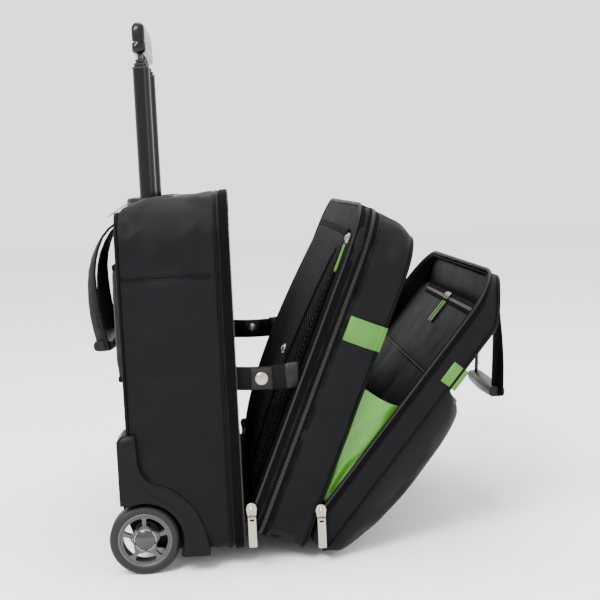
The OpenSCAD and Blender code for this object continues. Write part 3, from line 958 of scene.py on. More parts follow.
for side, label in ((-1, "right"), (1, "left")):
    body = "wheel_" + label
    piece("tyre_" + label + "_tread", spin(tyre_profile(), side), CASE, RUBBER, body,
          replaces=["tyre_" + label], sharp=40)
    piece("hub_star_" + label, star(side), CASE, SILVER, body)
    flange = [(WHEEL_MID + 9.3, RIM_R - 1.9), (WHEEL_MID + 10.6, RIM_R - 1.2),
              (WHEEL_MID + 10.8, RIM_R), (WHEEL_MID + 10.2, RIM_R + 1.1), (WHEEL_MID + 9.3, RIM_R)]
    piece("rim_bead_" + label, spin(flange, side), CASE, SILVER, body, sharp=60)

# %% [markdown]
# ## Handle garage and luggage sleeve
#
# The grip sinks into a green-lined well in the top panel, framed by a soft leather lip. On the
# back, a padded sleeve is sewn along its two sides only, so another case's handle can pass.

# %% Garage lip
lip_path = [(x, y, CASE_HIGH + 0.6 + 1.4 * smooth_step((x - 5) / 30))
            for x, y in stadium(GARAGE_HALF + 1.4, GARAGE_R + 1.4, 20)]
piece("garage_lip", sweep(lip_path, [(3.6 * a, 2.6 * b) for a, b in disc(1.0, 12)],
                          closed=True, side=(0, 0, 1)),
      CASE, LEATHER, "rear_case", replaces=["garage_rim"])
print("lip path points:", len(lip_path))

# %% Luggage sleeve
SLEEVE_HALF, SLEEVE_LOW, SLEEVE_HIGH = 149.0, 190.0, 311.0


def sleeve_depth(y, z):
    """The sleeve stands off the back and meets it at both sides, the same at every height z."""
    return BACK_X - 10.5 + 9.0 * smooth_step((abs(y) - 141) / 8)


SLEEVE_ROWS, SLEEVE_COLUMNS = 24, 61
sleeve = piece("luggage_sleeve_pad",
               panel((SLEEVE_HALF, SLEEVE_LOW, SLEEVE_HIGH, 7, 7), SLEEVE_ROWS, SLEEVE_COLUMNS,
                     sleeve_depth), CASE, TWILL, replaces=["luggage_sleeve"])
orient(sleeve, CASE @ (Vector((60, 0, 250)) * MM))
sleeve_pins = {k: 1 for k in edge_rows(SLEEVE_ROWS, SLEEVE_COLUMNS)}
swell(sleeve, sleeve_pins, pressure=1.0, slack=0.01, cap=2.5)
thicken(sleeve, 1.6, 1)
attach(sleeve, "rear_case")
for name, height in (("sleeve_top_binding", SLEEVE_HIGH - 1.5), ("sleeve_bottom_binding", SLEEVE_LOW + 1.5)):
    path = [(sleeve_depth(y, height) + 0.8, y, height) for y in range(-147, 148, 7)]
    piece(name, sweep(path, slat(6, 3.4), side=(0, 0, 1)), CASE, TAPE, "rear_case")
print("sleeve:", len(sleeve.data.polygons), "faces")

# %% [markdown]
# ## Telescopic handle
#
# The grip is moulded in two halves that meet in a fine seam, crowned a little along its length.
# It is built as rings of one section, closed over rounded ends.

# %% Grip
GRIP_LOW, GRIP_HIGH = span("grip_body", 2)
GRIP_HALF = span("grip_body", 1)[1]
GRIP_X = 13.4
SEAM_UP = 13.0


def grip_section(low, high, deep, round_low, round_high):
    """Closed (x, z) section with rounded bottom and top."""
    points = []
    for k in range(9):
        angle = math.pi * k / 8
        points.append((deep * math.cos(angle), high - round_high + round_high * math.sin(angle)))
    for k in range(9):
        angle = math.pi + math.pi * k / 8
        points.append((deep * math.cos(angle), low + round_low + round_low * math.sin(angle)))
    return points


def grip_half(low, high, deep, round_low, round_high):
    """Rings along Y that shrink towards both ends."""
    section = grip_section(low, high, deep, round_low, round_high)
    seam = GRIP_LOW + SEAM_UP
    stations = [(-GRIP_HALF + 7 * (1 - math.cos(math.pi * k / 12)), math.sin(math.pi * k / 12) ** 0.6)
                for k in range(1, 6)]
    stations += [(y, 1.0) for y in range(int(-GRIP_HALF) + 8, int(GRIP_HALF) - 7, 6)]
    stations += [(-y, scale) for y, scale in stations[4::-1]]
    points = []
    for y, scale in stations:
        crown = -1.6 * (y / GRIP_HALF) ** 2
        share = 0.35 + 0.65 * scale
        points += [(GRIP_X + x * share, y, seam + (z - seam) * share + crown * (z > seam + 4))
                   for x, z in section]
    size = len(section)
    faces = grid_faces(len(stations), size, wrap=True)
    faces += [tuple(range(size)), tuple((len(stations) - 1) * size + k for k in range(size))]
    return points, faces


piece("grip_lower", grip_half(GRIP_LOW, GRIP_LOW + SEAM_UP - 0.3, 7.6, 4.0, 1.2), CASE,
      GRIP, "stage_c", replaces=["grip_body"], sharp=60)
piece("grip_upper", grip_half(GRIP_LOW + SEAM_UP + 0.3, GRIP_HIGH, 7.1, 1.2, 6.8), CASE,
      GRIP, "stage_c", sharp=60)
TUBE_Y = 52.0
STAGE_TOPS = [span(node, 2)[1] for node in ("stage_a_tubes", "stage_b_tubes", "stage_c_tubes")]
for radius, top, body in ((9.6, STAGE_TOPS[0], "stage_a"), (7.7, STAGE_TOPS[1], "stage_b"),
                          (5.8, STAGE_TOPS[2], "stage_c")):
    profile = [(radius - 1.6, top - 1.6), (radius - 0.2, top - 1.6), (radius, top - 1.2),
               (radius, top + 0.2), (radius - 0.5, top + 0.6), (radius - 1.6, top + 0.6)]
    rings = []
    for side in (-1, 1):
        points = []
        for k in range(40):
            angle = 2 * math.pi * k / 40
            points += [(GRIP_X + r * math.cos(angle), side * TUBE_Y + r * math.sin(angle), z)
                       for r, z in profile]
        rings.append((points, grid_faces(40, len(profile), wrap=True, join=True)))
    piece("collars_" + body, merge(*rings), CASE, PLASTIC, body, sharp=40)
print("stage tops:", [round(top, 1) for top in STAGE_TOPS])

# %% [markdown]
# ## Laptop compartment
#
# The middle box is built like the rear one: a swollen band between piping, here with a second zip
# round it that opens the laptop pocket. Its rear face carries a bulging net pocket.

# %% Middle band and panels
MID_RING = outline(*MID)
MID_ROWS = [1.0 + (MIDDLE_DEEP - 2) * k / 12 for k in range(13)]
ZIP_X = 17.0
middle_skin = piece("middle_skin", band(middle_point, MID_RING, MID_ROWS), MIDDLE, TWILL,
                    replaces=["middle_band"])
orient(middle_skin, MIDDLE @ (Vector((33, 0, 170)) * MM))
swell(middle_skin, pins_for(MID_RING, MID_ROWS, [(1, 1), (ZIP_X, 0.95), (66, 1)]),
      pressure=1.8, slack=0.03, cap=5.5)
ruffle(middle_skin, 0.9, 38, seed=2.0)
thicken(middle_skin, 1.6)
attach(middle_skin, "middle")
middle_tree = surface_of(middle_skin)

middle_rear = piece("middle_rear_pad", panel(MID, 40, 44, lambda y, z: max(0.9, 9.5 - z), inset=0.6),
                    MIDDLE, LINING, replaces=["middle_rear_panel"])
orient(middle_rear, MIDDLE @ (Vector((60, 0, 170)) * MM))
ruffle(middle_rear, 0.4, 50, seed=5.0, keep=edge_rows(40, 44))
thicken(middle_rear, 3.5)
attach(middle_rear, "middle")


def middle_front_depth(y, z):
    swell_up = math.sin(math.pi * min(1.0, max(0.0, (z + 2) / 352))) ** 0.6
    return MIDDLE_DEEP - 1.0 + 4.5 * swell_up * (1 - (y / MIDDLE_HALF) ** 4)


MID_FACE = (MIDDLE_HALF - 3.9, -2.0, MIDDLE_HIGH - 18.0, 18, 50)
middle_front = piece("middle_front_pad", panel(MID_FACE, 44, 46, middle_front_depth, inset=0.6), MIDDLE,
                     TWILL, replaces=["middle_front_panel"])
orient(middle_front, MIDDLE @ (Vector((0, 0, 170)) * MM))
ruffle(middle_front, 0.7, 55, seed=6.0, keep=edge_rows(44, 46))
thicken(middle_front, 4.0)
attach(middle_front, "middle")
print("middle band:", len(middle_skin.data.polygons), "faces")

# %% Trim of the laptop compartment
piece("middle_piping", merge(welt(middle_point, MID_RING, 1.6, 0.6, 1.6),
                             welt(middle_point, MID_RING, 24.5, 0.5, 1.3),
                             welt(middle_point, MID_RING, 64.8, 0.6, 1.6)),
      MIDDLE, CORD, "middle", replaces=["middle_trim"])
piece("middle_rim_tape", tape(middle_point, MID_RING, 2.6, 9.0, -0.3, 1.3), MIDDLE, TAPE,
      "middle", sharp=50)
piece("middle_rim_teeth", teeth(middle_point, MID_RING, 1.8, 1.4, 2.4, (2.2, 1.3, 1.8)), MIDDLE,
      COIL, "middle", sharp=50)
piece("laptop_zip_tape", tape(middle_point, MID_RING, 12.0, 22.0, 0.0, 1.5), MIDDLE, TAPE,
      "middle", sharp=50)
piece("laptop_zip_teeth", teeth(middle_point, MID_RING, ZIP_X, 1.7, 2.2, (3.6, 1.2, 1.4)), MIDDLE,
      COIL, "middle", sharp=50)
print("laptop zip at x =", ZIP_X, "mm in the laptop compartment")

# %% Net pocket
NET_HALF, NET_LOW, NET_HIGH, NET_BULGE, NET_CELL = 168.0, 30.0, 318.0, 18.0, 5.6


def net_depth(y, z):
    up = (z - NET_LOW) / (NET_HIGH - NET_LOW)
    side = 1 - abs(y / NET_HALF) ** 6
    rise = math.sin(math.pi * min(1, max(0, up)) ** 0.75) ** 0.7 if 0 < up < 1 else 0.0
    return -0.6 - NET_BULGE * rise * max(0.0, side) ** 0.6


def net_mesh():
    """Diamonds of thread: each cell's four edges become a face that the wire modifier opens."""
    columns, rows = round(2 * NET_HALF / NET_CELL), round((NET_HIGH - NET_LOW) / NET_CELL)
    points, faces, index = [], [], {}

    def corner(i, j):
        if (i, j) not in index:
            y = -NET_HALF + 2 * NET_HALF * i / (2 * columns)
            z = NET_LOW + (NET_HIGH - NET_LOW) * j / (2 * rows)
            index[(i, j)] = len(points)
            points.append((net_depth(y, z), y, z))
        return index[(i, j)]

    for i in range(1, 2 * columns):
        for j in range(1, 2 * rows):
            if (i + j) % 2 == 0:
                faces.append((corner(i - 1, j), corner(i, j - 1), corner(i + 1, j), corner(i, j + 1)))
    return points, faces


net = piece("mesh_pocket_net", net_mesh(), MIDDLE, NET, replaces=["mesh_pocket"])
threads = net.modifiers.new("threads", "WIREFRAME")
threads.thickness = 1.0 * MM
threads.use_even_offset = False
threads.use_boundary = True
settle(net)
net_frame_path = [(net_depth(y, NET_HIGH) - 0.4, y, NET_HIGH) for y in range(-168, 169, 8)]
piece("mesh_pocket_binding", sweep(net_frame_path, slat(9, 2.4), side=(0, 0, 1)),
      MIDDLE, TAPE, "middle")
sides = [sweep([(-0.8, side * NET_HALF, z) for z in range(26, 322, 8)], slat(8, 2.0), side=(0, 1, 0))
         for side in (-1, 1)]
foot = sweep([(-0.8, y, NET_LOW) for y in range(-168, 169, 8)], slat(8, 2.0), side=(0, 0, 1))
pocket_zip = sweep([(net_depth(-146, z) - 0.8, -146, z) for z in range(44, 306, 8)], slat(8, 1.6),
                   side=(0, 1, 0))
piece("mesh_pocket_edges", merge(*sides, foot, pocket_zip), MIDDLE, TAPE,
      "middle")
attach(net, "middle")

# %% Green side bands
BAND_LOW, BAND_HIGH = 216.0, 242.0


def laid_strip(tree, place, xs, z, side, width, thick, default, lift=0.7):
    """A tape that follows a compartment's side at height z."""
    path = [(x, side * (side_reach(tree, place, x, z, side, default) + lift), z) for x in xs]
    return sweep(path, slat(width, thick), side=(0, 0, 1))


for side, label in ((-1, "right"), (1, "left")):
    xs = [26.5, 30, 35, 40, 45, 50, 55, 60, 64, 66.5]
    piece("green_band_" + label,
          laid_strip(middle_tree, MIDDLE, xs, (BAND_LOW + BAND_HIGH) / 2, side,
                     BAND_HIGH - BAND_LOW, 1.4, MIDDLE_HALF),
          MIDDLE, GREEN_TAPE, "middle")
print("green bands from", BAND_LOW, "to", BAND_HIGH, "mm")

# %% [markdown]
# ## Straps and gussets between the compartments
#
# These parts reach across two compartments, and none of them rides on a body. A webbing strap
# ties each side of the middle box to the rear case, and a satin triangle does the same for the
# front box. Each is drawn once, in its open place.

# %% Stay straps with patch and snap
STRAP_UP, STRAP_Y, STRAP_WIDE = 196.0, 198.9, 24.0
SNAP_X = 125.9
STRAP_START, STRAP_END = 97.0, 165.0


def strap_sag(x):
    return STRAP_UP - 1.5 * math.sin(math.pi * (x - STRAP_START) / (STRAP_END - STRAP_START))


def dome(center, radius, rise, side, steps=28):
    """A low round cap that faces sideways, with a rolled edge."""
    profile = [(0.05, rise)] + [(radius * math.sin(a), rise * math.cos(a)) for a in
                                [math.radians(d) for d in (15, 30, 45, 60, 72, 82, 90)]]
    profile += [(radius * 1.02, -0.4), (radius * 0.8, -0.8), (0.05, -0.8)]
    points = []
    for k in range(steps):
        angle = 2 * math.pi * k / steps
        points += [(center[0] + r * math.cos(angle), center[1] + side * h, center[2] + r * math.sin(angle))
                   for r, h in profile]
    return points, grid_faces(steps, len(profile), wrap=True, join=True)


def hoop(center, radius, wire, axis=(0, 1, 0), steps=32, low=0.0, high=360.0):
    """A ring, or an arc of one, of round wire. It lies in the plane across its axis."""
    axis = Vector(axis).normalized()
    u = axis.orthogonal().normalized()
    v = axis.cross(u)
    closed = high - low >= 360
    count = steps if closed else steps + 1
    path = []
    for k in range(count):
        angle = math.radians(low + (high - low) * k / steps)
        path.append(Vector(center) + radius * (math.cos(angle) * u + math.sin(angle) * v))
    return sweep(path, disc(wire, 8), closed=closed, side=axis)


print("strap height at the snap:", round(strap_sag(SNAP_X), 1), "mm")

# %% Both straps
for side, label in ((-1, "right"), (1, "left")):
    y = side * STRAP_Y
    path = [(x, y, strap_sag(x)) for x in [STRAP_START + 4 * k for k in range(18)]]
    strap = piece("stay_strap_" + label, sweep(path, slat(STRAP_WIDE, 1.8), side=(0, 0, 1)), CASE,
                  WEBBING, replaces=["stay_straps"] if side < 0 else ())
    outer = y - 1.1
    patch_path = [(x, outer - 0.5, strap_sag(x)) for x in (115, 117, 120, 124, 128, 132, 135, 137)]
    patch = piece("snap_patch_" + label, sweep(patch_path, slat(22.5, 1.3), side=(0, 0, 1)), CASE,
                  LEATHER)
    corners = [(116.4, 185.5), (135.6, 185.5), (135.6, 205.3), (116.4, 205.3)]
    threads = merge(*[stitch_line((a[0], outer - 1.2, a[1]), (b[0], outer - 1.2, b[1]), 2.6,
                                  (1.7, 0.4, 0.3), (0, -1, 0))
                      for a, b in zip(corners, corners[1:] + corners[:1])])
    stitching = piece("snap_patch_stitches_" + label, threads, CASE, TAPE, sharp=40)
    cap_data = merge(dome((SNAP_X, outer - 1.5, strap_sag(SNAP_X)), 6.75, 2.0, -1),
                     hoop((SNAP_X, y + 1.2, strap_sag(SNAP_X)), 5.0, 1.0),
                     hoop((SNAP_X, y + 1.0, strap_sag(SNAP_X)), 2.4, 0.7))
    cap = piece("snap_" + label, cap_data, CASE, NICKEL,
                replaces=["strap_snaps"] if side < 0 else (), sharp=50)
    anchor_path = [(x, y - side * 0.2, strap_sag(x) + 0.4) for x in (150, 154, 158, 162, 165)]
    anchor = piece("strap_anchor_" + label, sweep(anchor_path, slat(26.0, 3.2), side=(0, 0, 1)), CASE,
                   LEATHER)
    for part in (strap, patch, stitching, cap, anchor):
        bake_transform(part)

# %% Green gussets
GUSSET_Y = 196.6
GUSSET_TOP_REAR, GUSSET_TOP_FRONT = 176.0, 170.6
GUSSET_LOW = 51.0
front_hinge = MIDDLE.inverted() @ Vector(JOINTS["front_tilt"]["pos_m"]) / MM


def gusset(side, rows=30, columns=14):
    """A satin triangle between two edges that meet at the front hinge."""
    points = []
    reach = math.tan(math.radians(FRONT_OPEN))
    for i in range(rows):
        t = i / (rows - 1)
        rear = Vector((MIDDLE_DEEP + 0.3, GUSSET_LOW + (GUSSET_TOP_REAR - GUSSET_LOW) * t))
        rise = 4.0 + (GUSSET_TOP_FRONT - front_hinge.z - 4.0) * t
        front = Vector((front_hinge.x + reach * rise + 4.0, front_hinge.z + rise))
        for j in range(columns):
            s = j / (columns - 1)
            x, z = rear.lerp(front, s)
            slack = 4 * s * (1 - s)
            fold = 2.3 * math.sin(5.2 * t + 3.5 * s) * slack + 1.3 * math.sin(13 * t - 7 * s) * slack
            points.append((x, side * (GUSSET_Y + fold * (0.4 + 0.6 * t)), z - 2.5 * slack * t ** 6))
    return points, grid_faces(rows, columns)


for side, label in ((-1, "right"), (1, "left")):
    cloth = piece("gusset_" + label, gusset(side), MIDDLE, SATIN,
                  replaces=["side_gussets"] if side < 0 else ())
    thicken(cloth, 0.7, 1, offset=0.0)
    settle(cloth)
    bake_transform(cloth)

# %% Web at the rear hinge
web_path = [(RIM_X + 0.3, 0, 60), (RIM_X + 1.2, 0, 55), (RIM_X + 2.6, 0, 49.5), (RIM_X + 4.2, 0, 52.5),
            (RIM_X + 6.2, 0, 57.5)]
web_points = [(x, y, z) for x, _, z in web_path for y in range(-196, 197, 14)]
web = piece("hinge_web_cloth", (web_points, grid_faces(len(web_path), 29)), CASE, LINING,
            replaces=["hinge_web"])
thicken(web, 1.0, 1, offset=0.0)
settle(web)
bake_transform(web)
print("hinge web:", len(web.data.polygons), "faces")

# %% [markdown]
# ## Organiser compartment
#
# The front box is a shallow tray. Its side thins towards the top, its front panel crowns forward,
# and a deep pouch bulges from its lower half. Inside, a padded panel carries a zip and two
# layers of pockets.

# %% Front band, panel and pouch
FRO_RING = outline(*FRO)
FRO_ROWS = [0.02 + 0.98 * k / 6 for k in range(7)]
front_skin = piece("front_skin", band(front_point, FRO_RING, FRO_ROWS), FRONT, TWILL,
                   replaces=["front_band"])
orient(front_skin, FRONT @ (Vector((16, 0, 130)) * MM))
swell(front_skin, pins_for(FRO_RING, FRO_ROWS, [(0, 1), (0.18, 0.8), (1, 1)]), pressure=1.6,
      slack=0.03, cap=4.0)
ruffle(front_skin, 0.6, 34, seed=3.0)
thicken(front_skin, 1.6)
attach(front_skin, "front")
front_tree = surface_of(front_skin)


def front_face(y, z):
    crown = 15.0 * (1 - (abs(y) / FRONT_HALF) ** 2.2) * smooth_step((FRONT_HIGH - z) / 70)
    return front_depth(z) - 0.8 + crown * smooth_step((z + 38) / 50)


front_panel = piece("front_panel_pad", panel(FRO, 44, 46, front_face, inset=0.6), FRONT, TWILL,
                    replaces=["front_panel"])
orient(front_panel, FRONT @ (Vector((0, 0, 130)) * MM))
ruffle(front_panel, 0.8, 50, seed=7.0, keep=edge_rows(44, 46))
thicken(front_panel, 3.0)
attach(front_panel, "front")

POUCH_HALF = 201.0
POUCH_SIDE = [(-37, 31), (-34, 43), (-29, 51), (-10, 55), (8, 58), (40, 62), (70, 64), (105, 63.5),
              (130, 62), (148, 60), (160, 56), (169, 47), (174, 33)]


def pouch(rows=40, columns=60):
    points = []
    for i in range(rows):
        spot = along([Vector((z, x)) for z, x in POUCH_SIDE], i / (rows - 1))
        z, x = spot
        for j in range(columns):
            s = 2 * j / (columns - 1) - 1
            s = math.copysign(abs(s) ** 0.75, s)
            edge = (1 - abs(s) ** 16) ** 0.5
            crown = 13.0 * (1 - s * s) * min(1.0, (x - 31) / 15) * smooth_step((z + 38) / 60)
            points.append((31.5 + (x - 31.5) * edge + crown, POUCH_HALF * s, z))
    return points, grid_faces(rows, columns)


front_pouch = piece("front_pouch", pouch(), FRONT, BALLISTIC,
                    replaces=["front_pocket"])
orient(front_pouch, FRONT @ (Vector((20, 0, 60)) * MM))
swell(front_pouch, {k: 1 for k in edge_rows(40, 60)}, pressure=1.5, slack=0.015, cap=4.0)
ruffle(front_pouch, 0.8, 42, seed=8.0, keep=edge_rows(40, 60))
thicken(front_pouch, 1.5)
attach(front_pouch, "front")
print("pouch side profile:", len(POUCH_SIDE), "points")

# %% Trim of the front compartment
piece("front_piping", merge(welt(front_point, FRO_RING, 0.96, 0.6, 1.7),
                            welt(front_point, FRO_RING, 0.04, 0.5, 1.4)),
      FRONT, CORD, "front", replaces=["front_trim"])
piece("front_rim_tape", tape(front_point, FRO_RING, 0.08, 0.27, -0.3, 1.3), FRONT, TAPE,
      "front", sharp=50)
piece("front_rim_teeth", teeth(front_point, FRO_RING, 0.065, 1.3, 2.4, (2.2, 1.3, 1.8)), FRONT, COIL,
      "front", sharp=50)
pouch_edge = [(53.5 + 12.0 * (1 - (y / POUCH_HALF) ** 2) - 22 * (abs(y) / POUCH_HALF) ** 12, y, 166.0)
              for y in range(-196, 197, 8)]
piece("pouch_piping", sweep(pouch_edge, disc(1.6, 8), side=(0, 0, 1)), FRONT, CORD,
      "front")
front_lining = piece("front_lining", band(front_point, FRO_RING, [0.05 + 0.8 * k / 4 for k in range(5)],
                                          lambda x, p: -3.4), FRONT, LINING)
orient(front_lining, FRONT @ (Vector((16, 0, 130)) * MM))
thicken(front_lining, 0.8, 0)
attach(front_lining, "front")
print("pouch edge points:", len(pouch_edge))

# %% Organiser pockets
def organiser_layer(half, low, high, x, puff, round_top, shift=0.0, dividers=()):
    """A padded pocket layer that bulges between its seams, and the path of its top edge."""
    rows, columns = 26, 48

    def depth(y, z):
        up = (z - low) / (high - low)
        seams = [-half] + list(dividers) + [half]
        cell = next((a, b) for a, b in zip(seams, seams[1:]) if a <= y + 1e-6 <= b + 2e-6)
        share = (y - cell[0]) / (cell[1] - cell[0])
        arch = max(0.0, math.sin(math.pi * share)) ** 0.5
        return x - puff * arch * math.sin(math.pi * min(1, max(0, 0.06 + 0.9 * up))) ** 0.5

    points, faces = panel((half, low, high, 4, round_top), rows, columns, depth)
    rim = [points[(rows - 1) * columns + j] for j in range(columns)]
    left = [points[i * columns] for i in range(rows // 2, rows - 1)]
    right = [points[i * columns + columns - 1] for i in range(rows // 2, rows - 1)][::-1]
    shifted = [(p[0], p[1] + shift, p[2]) for p in points]
    edge = [(p[0] - 0.5, p[1] + shift, p[2]) for p in left + rim + right]
    return (shifted, faces), edge


back_data = organiser_layer(198.0, 2, 262, 20.0, 2.5, 30)[0]
organiser_back = piece("organiser_back", back_data, FRONT, TWILL,
                       replaces=["organiser"])
pocket_data, pocket_edge = organiser_layer(186.0, 6, 170, 14.0, 3.5, 30, dividers=(-62, 62))
organiser_pocket = piece("organiser_pocket", pocket_data, FRONT, TWILL)
small_data = [organiser_layer(38, 24, height, 9.8, 2.4, 16, shift=shift)
              for shift, height in ((-124, 118), (0, 104), (124, 118))]
organiser_small = piece("organiser_small_pockets", merge(*[data for data, edge in small_data]), FRONT,
                        BALLISTIC)
for part in (organiser_back, organiser_pocket, organiser_small):
    orient(part, FRONT @ (Vector((60, 0, 100)) * MM))
    thicken(part, 1.8, 1)
    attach(part, "front")
edges = [pocket_edge] + [edge for data, edge in small_data]
piece("organiser_piping", merge(*[sweep(edge, disc(1.2, 8), side=(1, 0, 0)) for edge in edges]), FRONT,
      CORD, "front")
ZIP_UP = 254.0
zip_run = [(18.3, y, ZIP_UP) for y in range(-140, 141, 10)]
piece("organiser_zip", sweep(zip_run, slat(13, 1.4), side=(0, 0, 1)), FRONT, TAPE,
      "front")
piece("organiser_zip_teeth", merge(*[block((17.4, -138 + 2.4 * k, ZIP_UP), (1.4, 1.3, 3.6))
                                     for k in range(116)]), FRONT, COIL, "front", sharp=50)
print("organiser pockets:", len(small_data), "small ones on one wide one")

# %% Seam across each side of the rear case
rear_tree = surface_of(rear_skin)
SIDE_SEAM_Z, SEAM_WIDE, SEAM_THICK = 303.0, 2.6, 1.0
THREAD_DROP, THREAD_PITCH, THREAD = 3.2, 2.8, (1.9, 0.5, 0.35)
for side, label in ((-1, "right"), (1, "left")):
    xs = [BACK_X + 4 + 3 * k for k in range(int((RIM_X - BACK_X - 22) / 3))]
    reach = [side_reach(rear_tree, CASE, x, SIDE_SEAM_Z, side, CASE_HALF) + 0.35 for x in xs]
    run = [(x, side * y, SIDE_SEAM_Z) for x, y in zip(xs, reach)]
    piece("side_seam_" + label, sweep(run, slat(SEAM_WIDE, SEAM_THICK), side=(0, 0, 1)), CASE, CORD,
          "rear_case")
    below = [(x, y + side * 0.5, z - THREAD_DROP) for x, y, z in run]
    threads = merge(*[stitch_line(start, end, THREAD_PITCH, THREAD, (0, side, 0))
                      for start, end in zip(below, below[1:])])
    piece("side_seam_stitches_" + label, threads, CASE, TAPE, "rear_case", sharp=40)
print("seam points:", len(run), "at", SIDE_SEAM_Z, "mm")

# %% Green side tabs
for side, label in ((-1, "right"), (1, "left")):
    z = 187.0
    reach = [side_reach(front_tree, FRONT, x, z, side, FRONT_HALF) + 0.8 for x in (19, 23, 27, 31)]
    path = [(x, side * r, z) for x, r in zip((19, 23, 27, 31), reach)]
    path += [(34.5, side * (FRONT_HALF + 2.2), z), (37.0, side * (FRONT_HALF + 0.8), z),
             (37.4, side * (FRONT_HALF - 1.0), z), (36.0, side * (FRONT_HALF - 2.6), z),
             (33.5, side * (FRONT_HALF - 3.2), z)]
    piece("green_tab_" + label, sweep(path, slat(24, 1.3), side=(0, 0, 1)), FRONT, GREEN_TAPE,
          "front")
print("tabs reach", round(max(reach), 1), "mm from the middle")

# %% [markdown]
# ## Carry handles
#
# Each handle is two webbing strands with a leather wrap between their ends. Webbing is flat and
# stiff across its width, so it bends only one way: the path carries the curve, and the section
# twists a little as it runs down to the wrap.

# %% Rear and front handles
STRAND_Y, WEB_WIDE, WRAP_RISE = 56.0, 25.0, 6.8


def leather_wrap(x, z, deep, half):
    """A folded leather grip along Y, fuller in its middle."""
    points = []
    stations = 17
    section = [(deep * a, WRAP_RISE * b) for a, b in
               [(math.copysign(abs(math.cos(t)) ** 0.5, math.cos(t)),
                 math.copysign(abs(math.sin(t)) ** 0.7, math.sin(t)))
                for t in [2 * math.pi * k / 24 for k in range(24)]]]
    for k in range(stations):
        y = half * (2 * k / (stations - 1) - 1)
        full = 0.86 + 0.14 * math.sin(math.pi * k / (stations - 1))
        points += [(x + a * full, y, z + b * full + 1.2 * (y / half) ** 2) for a, b in section]
    faces = grid_faces(stations, 24, wrap=True)
    faces += [tuple(range(24)), tuple((stations - 1) * 24 + k for k in range(24))]
    return points, faces


REAR_STRAND = [(-14.6, 361), (-17.5, 357.5), (-24, 353), (-32, 347.5), (-39.5, 339), (-45.5, 328),
               (-50.5, 315), (-53.6, 300), (-54.4, 285), (-54.0, 268), (-52.6, 252), (-50.0, 236),
               (-46.5, 220), (-44.6, 212)]
FRONT_STRAND = [(396.5, 233.5), (399.8, 238.2), (401.6, 236), (402.0, 222), (402.3, 205),
                (402.2, 188), (401.7, 170), (400.9, 152), (400.0, 136)]
print("strand lengths in points:", len(REAR_STRAND), len(FRONT_STRAND))

# %% Webbing, tabs and stitches
def strands(course, wave=0.0):
    return merge(*[sweep([(x, side * STRAND_Y, z) for x, z in course], slat(WEB_WIDE, 2.4),
                         side=(0, 1, 0), twist=lambda t, s=side: s * wave * smooth_step(1.4 * t - 0.2))
                   for side in (-1, 1)])


def strand_stitches(course, index, side, face):
    """A box of stitches with a cross, near the wrap."""
    (x0, z0), (x1, z1) = course[index], course[index + 1]
    course_dir = Vector((x1 - x0, 0, z1 - z0)).normalized()
    normal = Vector((course_dir.z, 0, -course_dir.x)) * face
    mid = Vector(((x0 + x1) / 2, side * STRAND_Y, (z0 + z1) / 2)) + normal * 1.35
    u, v = course_dir * 6.5, Vector((0, 9, 0))
    corners = [mid + u + v, mid + u - v, mid - u - v, mid - u + v]
    runs = list(zip(corners, corners[1:] + corners[:1])) + [(corners[0], corners[2]),
                                                            (corners[1], corners[3])]
    return merge(*[stitch_line(a, b, 2.6, (1.8, 0.5, 0.35), normal) for a, b in runs])


piece("rear_handle_strands", strands(REAR_STRAND, 0.62), CASE, WEBBING,
      "rear_handle", replaces=["rear_handle_webbing"])
piece("rear_handle_wrap", leather_wrap(-46, 215.5, 12.5, STRAND_Y + 3), CASE, LEATHER,
      "rear_handle", replaces=["rear_handle_grip"], sharp=50)
piece("rear_handle_stitches", merge(*[strand_stitches(REAR_STRAND, 10, side, -1) for side in (-1, 1)]),
      CASE, TAPE, "rear_handle")
piece("front_handle_strands", strands(FRONT_STRAND, 0.3), CASE, WEBBING,
      "front_handle", replaces=["front_handle_webbing"])
piece("front_handle_wrap", leather_wrap(399, 138.5, 10.4, STRAND_Y + 3), CASE, LEATHER,
      "front_handle", replaces=["front_handle_grip"], sharp=50)
piece("front_handle_stitches", merge(*[strand_stitches(FRONT_STRAND, 6, side, -1) for side in (-1, 1)]),
      CASE, TAPE, "front_handle")
rear_tabs = [sweep([(BACK_X - 1.6 - 0.8 * math.sin(math.pi * k / 5), side * STRAND_Y, 330 + 6 * k)
                    for k in range(6)], slat(WEB_WIDE + 2, 2.2), side=(0, 1, 0)) for side in (-1, 1)]
piece("rear_handle_tabs", merge(*rear_tabs), CASE, WEBBING, "rear_case",
      replaces=["rear_fittings"])
front_tabs = []
for side in (-1, 1):
    course = [(front_face(STRAND_Y, z) + 1.4, side * STRAND_Y, z) for z in (246, 252, 258, 264, 270)]
    course += [(front_face(STRAND_Y, 276) + 4.5, side * STRAND_Y, 275)]
    front_tabs.append(sweep(course, slat(WEB_WIDE + 4, 2.2), side=(0, 1, 0)))
piece("front_handle_tabs", merge(*front_tabs), FRONT, WEBBING, "front",
      replaces=["front_fittings"])
print("handle tabs:", len(rear_tabs) + len(front_tabs))

# %% [markdown]
# ## Sliders and pulls
#
# A slider is a small casting: a shield-shaped body, and a bridge that the pull hangs from. The
# nickel pulls are CAD plates already. The green leather pulls are cut to a taper.

# %% Nickel sliders
def shield(x, z, width, height):
    """Outline of a slider's body, wider at its shoulders."""
    w, h = width / 2, height / 2
    return [(x - 0.62 * w, z - h), (x + 0.62 * w, z - h), (x + 0.8 * w, z - 0.5 * h), (x + w, z + 0.35 * h),
            (x + 0.75 * w, z + 0.85 * h), (x + 0.25 * w, z + h), (x - 0.25 * w, z + h),
            (x - 0.75 * w, z + 0.85 * h), (x - w, z + 0.35 * h), (x - 0.8 * w, z - 0.5 * h)]


